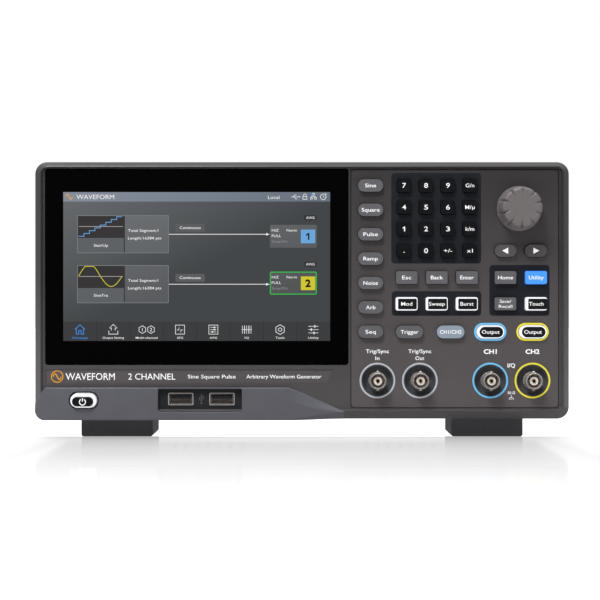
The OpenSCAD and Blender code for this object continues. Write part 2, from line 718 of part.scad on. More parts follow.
// A tilt leg lies back from its pins inside a front foot
module tilt_leg(s) color("#2a2a2d") {
    difference() {
        union() {
            translate([s * foot_x - leg_w / 2, leg_pivot[0], leg_pivot[1] - leg_t / 2])
                cube([leg_w, leg_len, leg_t]);
            translate([s * foot_x, leg_pivot[0], leg_pivot[1]]) rotate([0, 90, 0])
                cylinder(h = leg_w, r = leg_t / 2, center = true);
        }
        translate([s * foot_x - leg_w / 2 + 5, leg_pivot[0] + 6, leg_pivot[1] - leg_t / 2 - 1])
            cube([leg_w - 10, leg_len - 13, 2.6]);
    }
    for (e = [-1, 1]) translate([s * foot_x + e * leg_w / 2, leg_pivot[0], leg_pivot[1]])
        rotate([0, 90, 0]) cylinder(h = 4, r = pin_r, center = true);
}

module tilt_leg_left() tilt_leg(-1);
module tilt_leg_right() tilt_leg(1);

front_bezel();
control_inlay();
touch_glass();
display_module();
front_boards();
main_board();
power_supply();
bnc_jacks();
jack_insulators();
data_sockets();
power_inlet();
fan_frame();
rear_case();
feet();
screws();
fan_rotor();
tuning_knob();
carry_handle();
tilt_leg_left();
tilt_leg_right();
power_key();
for (k = KEYS) front_key(k);
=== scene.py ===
"""Looks of a benchtop two-channel function generator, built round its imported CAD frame.

Lengths here are in millimetres, in the frame of the CAD model: +X to the right of someone facing the
front, +Y to the back, +Z up. Shape.piece() turns them into metres.
"""

import functools
import json
import math

import bmesh
import bpy
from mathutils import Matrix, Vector
from mathutils.geometry import tessellate_polygon


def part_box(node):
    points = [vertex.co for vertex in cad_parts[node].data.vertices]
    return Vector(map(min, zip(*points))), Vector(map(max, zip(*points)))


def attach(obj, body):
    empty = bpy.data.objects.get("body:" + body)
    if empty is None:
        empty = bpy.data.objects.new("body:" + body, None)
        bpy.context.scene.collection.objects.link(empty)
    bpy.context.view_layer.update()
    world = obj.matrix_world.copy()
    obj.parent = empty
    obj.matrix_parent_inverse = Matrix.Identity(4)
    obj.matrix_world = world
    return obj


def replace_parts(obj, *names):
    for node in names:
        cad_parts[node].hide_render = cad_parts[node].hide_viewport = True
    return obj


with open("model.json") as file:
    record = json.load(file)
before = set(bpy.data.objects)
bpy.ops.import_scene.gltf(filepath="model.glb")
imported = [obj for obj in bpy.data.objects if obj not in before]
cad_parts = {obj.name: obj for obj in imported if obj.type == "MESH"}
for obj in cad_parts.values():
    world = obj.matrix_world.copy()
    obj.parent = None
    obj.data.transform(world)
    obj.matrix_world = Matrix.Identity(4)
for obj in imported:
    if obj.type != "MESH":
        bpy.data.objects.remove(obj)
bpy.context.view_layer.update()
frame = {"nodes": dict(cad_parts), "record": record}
scene = bpy.context.scene
MM = 0.001


# ---- Places and sizes, from the frame ----

class Box:
    """A CAD node's box in millimetres"""

    def __init__(self, node):
        low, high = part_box(node)
        self.x0, self.y0, self.z0 = (c / MM for c in low)
        self.x1, self.y1, self.z1 = (c / MM for c in high)
        self.x = (self.x0 + self.x1) / 2
        self.z = (self.z0 + self.z1) / 2
        self.w = self.x1 - self.x0
        self.h = self.z1 - self.z0


bezel = Box("front_bezel")
glass = Box("touch_glass")
inlay = Box("control_inlay")
module = Box("display_module")
case = Box("rear_case")
knob = Box("tuning_knob")
mounts = {m["name"]: [c / MM for c in m["pos_m"]] for m in frame["record"]["mounts"]}
keys = {name: Box(name) for name in frame["nodes"] if name.endswith("_key")}

panel_y = glass.y0
inlay_back = inlay.y1
wall_back = panel_y + 3
chin_y = bezel.y0
split_y = case.y0
floor_z = bezel.z0
top_z = bezel.z1
left_x = bezel.x0
right_x = bezel.x1

# The rim: its outer chamfer in (sides, top, bottom), the depth of that chamfer, and its ridge
ridge_y = panel_y - 1.6
rim_inset = (4.8, 3.1, 4.8)
rim_depth = 13
rim_inner = 1.5
body_radius = 7
seat_gap = 0.4
key_flange = 1.0
key_gap = 0.25

front_jacks = [mounts[n] for n in ("trigger_in_jack", "trigger_out_jack", "channel_1_jack", "channel_2_jack")]
rear_jacks = [mounts[n] for n in ("rear_jack_1", "rear_jack_2", "rear_jack_3")]
ports = [mounts[n] for n in ("usb_port_left", "usb_port_right")]
jack_r = 4.8
dish_r = 9.3
dish_depth = 4.5


# ---- Materials ----

def srgb(code):
    """The linear colour of a six-digit hex code"""
    parts = [int(code[i:i + 2], 16) / 255 for i in (1, 3, 5)]
    return [c / 12.92 if c < 0.04045 else ((c + 0.055) / 1.055) ** 2.4 for c in parts] + [1.0]


def shade(colour, factor):
    return [min(1.0, c * factor) for c in colour[:3]] + [1.0]


class Tree:
    """A node tree while it is being wired. add() makes a node and returns one of its outputs."""

    def __init__(self, owner):
        owner.use_nodes = True
        self.nodes = owner.node_tree.nodes
        self.links = owner.node_tree.links

    def fill(self, node, inputs):
        """Sets a node's inputs, and links those whose value is another node's output"""
        for key, value in inputs.items():
            if isinstance(value, bpy.types.NodeSocket):
                self.links.new(value, node.inputs[key])
            else:
                node.inputs[key].default_value = value

    def add(self, kind, inputs, out=0, **settings):
        node = self.nodes.new("ShaderNode" + kind)
        for key, value in settings.items():
            setattr(node, key, value)
        self.fill(node, inputs)
        return None if out is None else node.outputs[out]

    def coords(self, out="Object"):
        return self.add("TexCoord", {}, out)

    def split(self, vector):
        return self.add("SeparateXYZ", {0: vector}).node.outputs

    def math(self, operation, *values):
        return self.add("Math", dict(enumerate(values)), operation=operation)

    def noise(self, coords, size_mm, detail):
        return self.add("TexNoise", {"Vector": coords, "Scale": 1 / (size_mm * MM), "Detail": detail}, "Fac")

    def ramp(self, value, start, end, low=0.0, high=1.0):
        """Goes from low to high while value goes from start to end"""
        return self.add("MapRange", {"Value": value, "From Min": start, "From Max": end,
                                     "To Min": low, "To Max": high})

    def mix(self, factor, a, b):
        return self.add("Mix", {"Factor": factor, "A": a, "B": b}, "Result", data_type="RGBA")


def surface(name, code, rough=0.5, metallic=0.0, specular=0.5, coat=0.0, mottle=0.05, mottle_mm=9.0,
            uneven=0.05, grain=0.12, grain_mm=0.35, depth_mm=0.03, glow=0.0, scratch=0.0, painted_top_shade=None):
    """Moulded, painted or plated stuff: blotchy colour, uneven gloss and a fine grain, all procedural.
    The last argument, (code, z, z), fades to another colour between two heights: painted shade, which stands in
    for light falling unevenly with height."""
    material = bpy.data.materials.new(name)
    tree = Tree(material)
    coords = tree.coords()
    colour = srgb(code)

    def blotches(size_mm, detail, low, high):
        return tree.ramp(tree.noise(coords, size_mm, detail), 0.3, 0.7, low, high)

    tint = tree.mix(blotches(mottle_mm, 3.0, 0, 1), shade(colour, 1 - mottle), shade(colour, 1 + mottle))
    # Painted shade: the colour fades with height, standing in for light that falls unevenly on the part.
    if painted_top_shade:
        painted_shade_climb = tree.ramp(tree.split(coords)["Z"], painted_top_shade[1] * MM, painted_top_shade[2] * MM)
        tint = tree.mix(painted_shade_climb, tint, srgb(painted_top_shade[0]))
    if scratch:
        drawn = tree.add("Mapping", {"Vector": coords, "Scale": (0.04, 1.0, 1.0)})
        height = tree.noise(drawn, scratch, 4.0)
    else:
        height = tree.noise(coords, grain_mm, 2.0)
    shader = tree.nodes["Principled BSDF"]
    tree.fill(shader, {
        "Base Color": tint, "Roughness": blotches(2.6, 5.0, max(0.03, rough - uneven), rough + uneven),
        "Metallic": metallic, "Specular IOR Level": specular, "Coat Weight": coat, "Coat Roughness": 0.12,
        "Normal": tree.add("Bump", {"Height": height, "Strength": grain, "Distance": depth_mm * MM})})
    # Glow gives off the surface's own colour as emission: painted light wherever the surface is no lamp.
    if glow:
        tree.fill(shader, {"Emission Color": colour, "Emission Strength": glow})
    return material


def lit(name, code, code_below=None, z_top=0.0, z_low=0.0, slant=0.0):
    """A lit part of the display: one colour, or a blend from z_top down to z_low, leaning by slant"""
    material = bpy.data.materials.new(name)
    tree = Tree(material)
    light = srgb(code)
    if code_below:
        lean = tree.add("VectorMath", {0: tree.coords(), 1: (-slant, 0, 1)}, "Value", operation="DOT_PRODUCT")
        light = tree.mix(tree.ramp(lean, z_top * MM, z_low * MM), light, srgb(code_below))
    tree.fill(tree.nodes["Principled BSDF"], {
        "Base Color": (0.004, 0.004, 0.004, 1), "Roughness": 0.25, "Specular IOR Level": 0.15,
        "Emission Color": light, "Emission Strength": 1.0})
    return material


# ---- Mesh helpers ----

def rounded(cx, cz, w, h, r, steps=8):
    """Points (x, z) round a rectangle with round corners"""
    points = []
    for turn, (sx, sz) in enumerate([(1, 1), (-1, 1), (-1, -1), (1, -1)]):
        for i in range(steps + 1):
            a = math.pi / 2 * (turn + i / steps)
            points.append((cx + sx * (w / 2 - r) + r * math.cos(a), cz + sz * (h / 2 - r) + r * math.sin(a)))
    return points


def circle(cx, cz, r, steps=48):
    return [(cx + r * math.cos(2 * math.pi * i / steps), cz + r * math.sin(2 * math.pi * i / steps))
            for i in range(steps)]


def arc(cx, cz, r, start, end, steps=16):
    """Points on an arc, its angles in degrees"""
    return [(cx + r * math.cos(math.radians(start + (end - start) * i / steps)),
             cz + r * math.sin(math.radians(start + (end - start) * i / steps))) for i in range(steps + 1)]


def at_depth(points, y):
    return [(x, y, z) for x, z in points]


def flat(loop):
    return [(x, z) for x, y, z in loop]


def quads(first, n, rows):
    """Faces between rows of n points, each row a closed loop, where first is the first point's number"""
    return [[first + a * n + i, first + a * n + (i + 1) % n, first + (a + 1) * n + (i + 1) % n,
             first + (a + 1) * n + i] for a in range(rows - 1) for i in range(n)]


def smooth(t):
    t = min(1.0, max(0.0, t))
    return t * t * (3 - 2 * t)


@functools.cache
def letter_mesh(words, bold):
    """Points (x, z, depth 0 to 1) and faces of solid words, size 1, their baseline at z = 0"""
    curve = bpy.data.curves.new("words", "FONT")
    curve.body = words
    curve.extrude = 0.5
    curve.offset = bold
    curve.resolution_u = 3
    holder = bpy.data.objects.new("words", curve)
    scene.collection.objects.link(holder)
    mesh = bpy.data.meshes.new_from_object(holder.evaluated_get(bpy.context.evaluated_depsgraph_get()))
    work = bmesh.new()
    work.from_mesh(mesh)
    bmesh.ops.remove_doubles(work, verts=work.verts, dist=1e-5)
    work.verts.index_update()
    letters = ([(v.co.x, v.co.y, 0.5 - v.co.z) for v in work.verts],
               [[v.index for v in f.verts] for f in work.faces])
    work.free()
    bpy.data.objects.remove(holder)
    bpy.data.curves.remove(curve)
    bpy.data.meshes.remove(mesh)
    return letters


cap_height = max(z for x, z, depth in letter_mesh("H", 0.0)[0])


class Shape:
    """Vertices and faces of one piece while it is being made"""

    def __init__(self):
        self.verts = []
        self.faces = []

    def add(self, verts, faces):
        first = len(self.verts)
        self.verts += verts
        self.faces += [[first + i for i in face] for face in faces]
        return self

    def loft(self, loops, ring=False):
        """A skin over loops of equal length: capped at both ends, or a ring whose ends meet"""
        n = len(loops[0])
        end = (len(loops) - 1) * n
        faces = quads(0, n, len(loops))
        if ring:
            faces += [[end + i, end + (i + 1) % n, (i + 1) % n, i] for i in range(n)]
        else:
            faces += [list(range(n)), list(range(end, end + n))]
        return self.add([v for loop in loops for v in loop], faces)

    def prism(self, outline, y0, y1, holes=()):
        """A flat outline with holes, from the depth y0 back to y1"""
        if not holes:
            return self.loft([at_depth(outline, y0), at_depth(outline, y1)])
        loops = [outline, *holes]
        points = [p for loop in loops for p in loop]
        n = len(points)
        caps = tessellate_polygon([[Vector((x, z, 0)) for x, z in loop] for loop in loops])
        faces = [list(t) for t in caps] + [[i + n for i in reversed(t)] for t in caps]
        first = 0
        for loop in loops:
            m = len(loop)
            faces += [[first + i, first + (i + 1) % m, first + (i + 1) % m + n, first + i + n]
                      for i in range(m)]
            first += m
        return self.add(at_depth(points, y0) + at_depth(points, y1), faces)

    def band(self, outer, inner, y0, y1):
        """A flat frame between two outlines of equal length"""
        return self.loft([at_depth(outer, y0), at_depth(outer, y1), at_depth(inner, y1),
                          at_depth(inner, y0)], ring=True)

    def stroke(self, points, width, y0, y1, closed=False):
        """A line of even width through points, with mitred corners"""
        sides = ([], [])
        n = len(points)
        for i, (x, z) in enumerate(points):
            normals = []
            for j in (i - 1, i):
                if closed or 0 <= j < n - 1:
                    a, b = points[j % n], points[(j + 1) % n]
                    length = math.dist(a, b)
                    normals.append(((a[1] - b[1]) / length, (b[0] - a[0]) / length))
            nx, nz = (sum(c) / len(normals) for c in zip(*normals))
            reach = width / 2 / max(0.3, nx * nx + nz * nz)
            sides[0].append((x + nx * reach, z + nz * reach))
            sides[1].append((x - nx * reach, z - nz * reach))
        if closed:
            return self.band(sides[0], sides[1], y0, y1)
        return self.prism(sides[0] + sides[1][::-1], y0, y1)

    def words(self, words, x, z, cap, y0, y1, width=None, bold=0.0, align=0.5, back=False):
        """Solid words whose capitals are cap high and centred on z; x is their middle or, by align, an end"""
        points, faces = letter_mesh(words, bold)
        low = min(p[0] for p in points)
        long = max(p[0] for p in points) - low
        size = cap / cap_height
        wide = width / long if width else size
        way = -1 if back else 1
        place = [(x + way * (p[0] - low - align * long) * wide, y0 + p[2] * (y1 - y0),
                  z - cap / 2 + p[1] * size) for p in points]
        return self.add(place, faces)

    def one(self, x, z, cap, width, y0, y1):
        """The numeral 1 with its flag, cap high"""
        right, low, high, flag = x + 0.2 * cap, z - cap / 2, z + cap / 2, z + 0.27 * cap
        return self.prism([(right, low), (right, high), (right - width, high), (x - 0.3 * cap, flag),
                           (x - 0.3 * cap, flag - 1.1 * width), (right - width, high - 1.15 * width),
                           (right - width, low)], y0, y1)

    def lathe(self, profile, x, y, z, steps=48, facing=-1):
        """A closed profile (radius, depth in front of y) turned round an axis along Y"""
        loops = [[(x + r * math.cos(a), y + facing * d, z + r * math.sin(a))
                  for a in (2 * math.pi * i / steps for i in range(steps))] for r, d in profile]
        return self.loft(loops, ring=True)

    def piece(self, name, material, body="chassis", slot=None, bevel=0.0, segments=2, angle=32,
              flats=False):
        """Makes the piece: joined, turned outwards and smooth except at its edges and, with flats, round
        the faces square to the depth"""
        mesh = bpy.data.meshes.new(name)
        mesh.from_pydata([Vector(v) * MM for v in self.verts], [], self.faces)
        work = bmesh.new()
        work.from_mesh(mesh)
        bmesh.ops.remove_doubles(work, verts=work.verts, dist=1e-7)
        bmesh.ops.dissolve_degenerate(work, edges=work.edges, dist=1e-8)
        bmesh.ops.recalc_face_normals(work, faces=work.faces)
        work.to_mesh(mesh)
        work.free()
        mesh.shade_smooth()
        mesh.set_sharp_from_angle(angle=math.radians(angle))
        if flats:
            work = bmesh.new()
            work.from_mesh(mesh)
            for edge in work.edges:
                if len({abs(face.normal.y) > 0.99999 for face in edge.link_faces}) == 2:
                    edge.smooth = False
            work.to_mesh(mesh)
            work.free()
        piece = bpy.data.objects.new(name, mesh)
        scene.collection.objects.link(piece)
        mesh.materials.append(material)
        if bevel:
            soften(piece, bevel, segments, angle)
        even = piece.modifiers.new("flat_faces", "WEIGHTED_NORMAL")
        even.keep_sharp = True
        even.weight = 100
        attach(piece, body)
        return piece


def soften(piece, width_mm, segments=2, angle=32):
    bevel = piece.modifiers.new("soft_edges", "BEVEL")
    bevel.width = width_mm * MM
    bevel.segments = segments
    bevel.limit_method = "ANGLE"
    bevel.angle_limit = math.radians(angle)
    bevel.harden_normals = True


def dress(node, material, bevel, segments):
    """Gives a CAD node its material and rounds its edges"""
    piece = frame["nodes"][node]
    for place in piece.material_slots:
        place.material = material
    if bevel:
        weld = piece.modifiers.new("join_corners", "WELD")
        weld.merge_threshold = 1e-6
        soften(piece, bevel, segments)


# ---- Finishes ----

# The bezel and the inlay darken towards the top: painted shade, because the light falls less on their upper
# parts.
bezel_skin = surface("bezel_skin", "#575456", rough=0.4, mottle=0.03, uneven=0.02, grain=0.05,
                     painted_top_shade=("#3e3b3d", 25, 100))
# The chin is of the bezel's plastic; its lighter colour is painted light, for the light that its front catches.
chin_painted_light_skin = surface("chin_painted_light_skin", "#63636b", rough=0.45, mottle=0.04, grain=0.25)
inlay_skin = surface("inlay_skin", "#625c5d", rough=0.4, specular=0.35, mottle=0.03, grain=0.15, grain_mm=0.2,
                     painted_top_shade=("#403d3e", 25, 150))
strip_skin = surface("strip_skin", "#5f5a5b", rough=0.35, mottle=0.03, grain=0.12, grain_mm=0.2)
zone_ink = surface("zone_ink", "#1d2028", rough=0.42, mottle=0.04, grain=0.12, grain_mm=0.2)
glass_skin = surface("glass_skin", "#050506", rough=0.06, specular=0.06, mottle=0.02, uneven=0.02, grain=0.0)
# The white print glows: painted light, which makes it brighter than the lamps alone would.
white_ink_painted_glow = surface("white_ink_painted_glow", "#f4f4f6", mottle=0.01, grain=0.06, glow=0.35)
ring_ink = surface("ring_ink", "#c9ced6", mottle=0.02, grain=0.06)
port_ink = surface("port_ink", "#6f7278", mottle=0.02, grain=0.06)
amber_ink = surface("amber_ink", "#f0a01c", mottle=0.02, grain=0.06)
# The blue and yellow print glows faintly: painted light.
blue_ink_painted_glow = surface("blue_ink_painted_glow", "#6cc4f6", mottle=0.02, grain=0.06, glow=0.15)
yellow_ink_painted_glow = surface("yellow_ink_painted_glow", "#efe22c", mottle=0.02, grain=0.06, glow=0.15)
dish_skin = surface("dish_skin", "#56585c", rough=0.45, grain=0.2)
black_skin = surface("black_skin", "#1c1c1f", mottle=0.06, grain=0.3)
port_skin = surface("port_skin", "#2c2d31", rough=0.4, grain=0.25)
key_skin = surface("key_skin", "#68676b", rough=0.34, specular=0.8, mottle=0.03, coat=0.6, grain=0.15,
                   grain_mm=0.25)
digit_skin = surface("digit_skin", "#0e0f13", rough=0.36, mottle=0.04, grain=0.15, grain_mm=0.25)
lit_skin = surface("lit_skin", "#f2f3f8", rough=0.35, mottle=0.01, grain=0.05, coat=0.2, glow=0.35)
channel_skin = surface("channel_skin", "#97a4b3", rough=0.4, mottle=0.02, grain=0.12, grain_mm=0.25)
utility_skin = surface("utility_skin", "#4492f4", rough=0.35, mottle=0.02, grain=0.1, glow=0.35)
arrow_skin = surface("arrow_skin", "#5a5758", rough=0.36, specular=0.6, mottle=0.03, grain=0.15,
                     grain_mm=0.25)
socket_skin = surface("socket_skin", "#e6dfdd", rough=0.34, metallic=0.35, mottle=0.03, mottle_mm=4,
                      grain=0.08)
cap_skin = surface("cap_skin", "#17181c", rough=0.35, mottle=0.04, grain=0.15, grain_mm=0.25)
knob_skin = surface("knob_skin", "#756f70", rough=0.38, mottle=0.03, grain=0.2, grain_mm=0.25)
nickel = surface("nickel", "#e2dad4", rough=0.26, metallic=0.6, mottle=0.04, mottle_mm=3, grain=0.08,
                 grain_mm=0.6)
gold = surface("gold", "#d9a441", rough=0.2, metallic=1.0, mottle_mm=2, grain=0.05)
dielectric = surface("dielectric", "#f4f0e6", rough=0.4, mottle=0.02, grain=0.1)
steel = surface("steel", "#d6d8da", rough=0.2, metallic=1.0, mottle=0.04, mottle_mm=4, grain=0.1,
                scratch=0.15)
dark_steel = surface("dark_steel", "#55565a", rough=0.32, metallic=1.0, mottle=0.06, mottle_mm=3, grain=0.1)
alloy = surface("alloy", "#a2a6aa", rough=0.35, metallic=1.0, grain=0.3, scratch=0.2)
board_skin = surface("board_skin", "#1d5a3a", rough=0.3, mottle=0.08, mottle_mm=5, coat=0.3, grain=0.2)
case_skin = surface("case_skin", "#454346", rough=0.55, grain=0.55, grain_mm=0.7, depth_mm=0.06)
foot_skin = surface("foot_skin", "#57575b", rough=0.7, specular=0.35, mottle=0.06, grain=0.5, grain_mm=0.5,
                    depth_mm=0.05)
handle_skin = surface("handle_skin", "#303033", mottle=0.06, grain=0.45, grain_mm=0.6, depth_mm=0.05)
coil_skin = surface("coil_skin", "#77754f", mottle=0.1, mottle_mm=4, grain=0.3)


# ---- Bezel ----

def body_loop(inset, radius, y, grow=0.0):
    """The body's outline at the depth y, drawn in by inset = (sides, top, bottom) and by grow all round"""
    side, top, bottom = (i + grow for i in inset)
    w = right_x - left_x - 2 * side
    h = top_z - floor_z - top - bottom
    return at_depth(rounded((left_x + right_x) / 2, floor_z + bottom + h / 2, w, h, radius, 12), y)


def make_rim():
    """The bezel's ring: a square back, a long outer chamfer, a rounded ridge and a short inner slope"""
    none = (0, 0, 0)
    ridge_r = body_radius - rim_inset[0] / 2
    loops = [body_loop(none, body_radius - 0.3, split_y - 0.1, 0.35),
             body_loop(none, body_radius, split_y - 0.5)]
    for part in (0.0, 0.02, 0.06, 0.97):
        inset = tuple(i * part for i in rim_inset)
        loops.append(body_loop(inset, body_radius + (ridge_r - body_radius) * part,
                               ridge_y + 0.3 + (rim_depth - 0.3) * (1 - part)))
    for grow, back in ((-0.04, 0.48), (0.02, 0.34), (0.1, 0.27), (0.6, 0.02), (0.66, 0.0), (0.76, 0.04),
                       (0.86, 0.16)):
        loops.append(body_loop(rim_inset, ridge_r - grow, ridge_y + back, grow))
    loops.append(body_loop(rim_inset, 3, panel_y, rim_inner))
    loops.append(body_loop(rim_inset, 3, panel_y + 2.4, rim_inner))
    loops.append(body_loop((5, 5, 5), 3, wall_back + 1))
    loops.append(body_loop((5, 5, 5), 3, split_y - 0.1))
    return Shape().loft(loops, ring=True).piece("bezel_rim", bezel_skin, slot="bezel_plastic", angle=22)


def seat(box, gap=seat_gap, r=2.0):
    return rounded(box.x, box.z, box.w + 2 * gap, box.h + 2 * gap, r)


def key_cap(box, gap=0.0):
    """The outline of a key's cap, which is its box less the flange behind the wall"""
    w = box.w - 2 * key_flange
    h = box.h - 2 * key_flange
    r = cap_radius(w, h)
    return rounded(box.x, box.z, w + 2 * gap, h + 2 * gap, r + gap)


def cap_radius(w, h):
    if w < 9:
        return 1.3
    return 1.0 if 12 < w < 13 and h > 7.2 else h / 2 - 0.02


strip_z = (floor_z + 21, floor_z + 29.3)
strip_x = (left_x + 8.1, inlay.x0 - 10.3)
strip_slant = 3.3
strip_depth = 0.5


def strip_outline(grow=0.0):
    x0, x1 = strip_x[0] - grow, strip_x[1] + grow
    z0, z1 = strip_z[0] - grow, strip_z[1] + grow
    return [(x0, z0), (x1 - strip_slant, z0), (x1, z1), (x0, z1)]


def make_face():
    """The panel's front skin round the glass and the inlay, with the name strip let into it"""
    edge = flat(body_loop(rim_inset, 3, 0, rim_inner - 0.3))
    Shape().prism(edge, panel_y, inlay_back, [
        seat(glass), seat(inlay), strip_outline(), rounded(*usb_c, usb_recess[0] + 1, usb_recess[1] + 1, 1.7),
        key_cap(power, 1.5)]).piece(
        "bezel_face", bezel_skin, slot="bezel_plastic", bevel=0.22, segments=3)
    Shape().prism(strip_outline(0.3), panel_y + strip_depth, panel_y + 1.6).piece(
        "name_strip", strip_skin, slot="inlay_film", bevel=0.1)


def make_wall():
    """The wall behind the inlay, that the keys pass through"""
    front = [k for n, k in keys.items() if n != "power_key"]
    holes = [key_cap(k, key_gap) for k in front] + [circle(knob.x, knob.z, 3.65)]
    holes += [circle(x, z, dish_r - 0.2) for x, y, z in front_jacks]
    Shape().prism(rounded(inlay.x, inlay.z, inlay.w + 4, inlay.h + 4, 2), inlay_back, wall_back, holes).piece(
        "bezel_wall", black_skin, slot="bezel_plastic")


def make_dishes():
    """The sunken dish round each front jack"""
    shape = Shape()
    low_r = dish_r - 2.2
    profile = [(dish_r - 0.02, 0.0), (dish_r - 0.15, 0.06), (dish_r - 0.35, 0.0),
               (low_r + 0.5, 0.8 - dish_depth), (low_r + 0.1, 0.25 - dish_depth), (low_r - 0.5, -dish_depth),
               (jack_r + 0.2, -dish_depth), (jack_r + 0.2, -dish_depth - 1.6),
               (dish_r - 0.02, -dish_depth - 1.6)]
    for x, y, z in front_jacks:
        shape.lathe(profile, x, panel_y, z, 64)
    shape.piece("jack_dishes", dish_skin, slot="bezel_plastic")


chin_top = floor_z + 19
chin_low = floor_z + rim_inset[2] + 0.8
chin_x = (inlay.x0 - 36.4, inlay.x0 - 4)
usb_c = (left_x + 97.1, floor_z + 11.7)
usb_recess = (48.3, 13.5)
usb_floor = panel_y + 1
power = keys["power_key"]
power_recess = (17.6, 10.4)
power_floor = panel_y - 0.4


def chin_edge():
    """The chin's outline as rows (x, z, dx, dz, deep, soft): each point's soft front edge reaches in by
    (dx, dz) while it rises by deep, as a quarter round where soft is 0 and as a slope where it is 1"""
    rows = []
    round_r = 0.8
    side_reach, side_deep = 3.0, 12.0
    lean = rim_inset[0] + rim_inner
    turn_x = left_x + lean + 2.6

    def turn(cx, cz, radius, start, end, steps, to_side=0):
        for i, (x, z) in enumerate(arc(cx, cz, radius, start, end, steps)):
            t = to_side * i / steps
            reach = round_r + (side_reach - round_r) * t
            rows.append((x, z, (cx - x) / radius * reach, (cz - z) / radius * reach,
                         round_r + (side_deep - round_r) * t, t))

    for i in range(9):
        t = i / 9
        rows.append((left_x + lean * t ** 1.4, chin_top - 11 + 9.4 * t, side_reach + (round_r - side_reach) * t,
                     -0.1, side_deep + (round_r - side_deep) * t, 1 - t))
    turn(turn_x, chin_top - 2, 2, 165, 95, 6)
    for i in range(1, 14):
        rows.append((turn_x + i / 14 * (chin_x[0] - turn_x), chin_top, 0, -round_r, round_r, 0))
    for i in range(33):
        t = i / 32
        swell = math.sin(math.pi * t) ** 0.7
        fall = 0.7 * t + 0.3 * smooth(t)
        rows.append((chin_x[0] + t * (chin_x[1] - chin_x[0]), chin_top + fall * (chin_low - chin_top),
                     -12 * swell, -round_r - 1.2 * swell, round_r + 1.1 * swell, swell))
    for i in range(25):
        x = chin_x[1] + i / 24 * (left_x + body_radius - chin_x[1])
        t = smooth((x - chin_x[0]) / (chin_x[1] - chin_x[0]))
        rows.append((x, floor_z, 0, round_r + (rim_inset[2] - round_r) * t,
                     round_r + (rim_depth - round_r - 0.2) * t, t))
    turn(left_x + body_radius, floor_z + body_radius, body_radius, 270, 180, 9, to_side=1)
    return rows


def chin_loops(rows, steps=7):
    loops = [[(x, ridge_y + rim_depth + 0.3, z) for x, z, *edge in rows]]
    for step in range(steps + 1):
        u = step / steps
        loop = []
        for x, z, dx, dz, deep, soft in rows:
            run = (1 - soft) * (1 - math.cos(math.pi / 2 * u)) + soft * u
            drop = (1 - soft) * (1 - math.sin(math.pi / 2 * u)) + soft * (1 - u) * (1 - 0.35 * u)
            loop.append((x + dx * run, chin_y + deep * drop, z + dz * run))
        loops.append(loop)
    return loops


def make_chin():
    """The raised chin, with a recess for the USB ports and one for the power key let into its front"""
    loops = chin_loops(chin_edge())
    n = len(loops[0])
    verts = [v for loop in loops for v in loop]
    faces = quads(0, n, len(loops))

    def fill(index, outlines):
        faces.extend([index[i] for i in t] for t in tessellate_polygon(
            [[Vector((x, z, 0)) for x, z in outline] for outline in outlines]))

    front_index, back_index = list(range(len(verts) - n, len(verts))), list(range(n))
    front_outlines, back_outlines = [flat(loops[-1])], [flat(loops[0])]
    lip = 0.4
    port_holes = [rounded(x, z, 14.8, 7.4, 0.9) for x, y, z in ports]
    recesses = [(usb_c, usb_recess, 1.2, usb_floor, port_holes),
                ((power.x, power.z), power_recess, power_recess[1] / 2 - 0.01, power_floor,
                 [key_cap(power, key_gap)])]
    for centre, size, r, depth, holes in recesses:
        inner = rounded(*centre, *size, r)
        outer = rounded(*centre, size[0] + 2 * lip, size[1] + 2 * lip, r + lip)
        m = len(outer)
        first = len(verts)
        front_index += range(first, first + m)
        front_outlines.append(outer)
        for i in range(5):
            a = math.pi / 8 * i
            verts += [(ox + (ix - ox) * math.sin(a), chin_y + lip * (1 - math.cos(a)),
                       oz + (iz - oz) * math.sin(a)) for (ox, oz), (ix, iz) in zip(outer, inner)]
        verts += at_depth(inner, depth)
        faces += quads(first, m, 6)
        index = list(range(len(verts) - m, len(verts)))
        for hole in holes:
            m = len(hole)
            first = len(verts)
            index += range(first, first + m)
            back_index += range(first + m, first + 2 * m)
            back_outlines.append(hole)
            verts += at_depth(hole, depth) + at_depth(hole, loops[0][0][1])
            faces += quads(first, m, 2)
        fill(index, [inner, *holes])
    fill(front_index, front_outlines)
    fill(back_index, back_outlines)
    Shape().add(verts, faces).piece("bezel_chin", chin_painted_light_skin, slot="bezel_plastic", angle=40, flats=True)


rim = make_rim()
make_face()
make_wall()
make_dishes()
make_chin()
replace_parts(rim, "front_bezel")


# ---- CAD nodes that keep their shape ----

for node, material, edge in (
        ("control_inlay", inlay_skin, 0.25), ("touch_glass", glass_skin, 0.2), ("display_module", alloy, 0.3),
        ("front_boards", board_skin, 0), ("main_board", board_skin, 0), ("power_supply", coil_skin, 0.3),
        ("data_sockets", socket_skin, 0.12), ("power_inlet", black_skin, 0.35),
        ("fan_frame", black_skin, 0.3), ("rear_case", case_skin, 0.35), ("feet", foot_skin, 0.6),
        ("screws", dark_steel, 0.25), ("fan_rotor", black_skin, 0.2), ("carry_handle", handle_skin, 1.0),
        ("tilt_leg_left", foot_skin, 0.5), ("tilt_leg_right", foot_skin, 0.5)):
    dress(node, material, edge, segments=3)


# ---- Keys ----

FRAMED_KEYS = ("mod", "sweep", "burst", "touch")
OUTPUT_KEYS = ("output_1", "output_2")
DIGIT_KEYS = ("digit_7", "digit_8", "digit_9", "giga_nano", "digit_4", "digit_5", "digit_6", "mega_micro",
              "digit_1", "digit_2", "digit_3", "kilo_milli", "point", "digit_0", "sign", "unit")
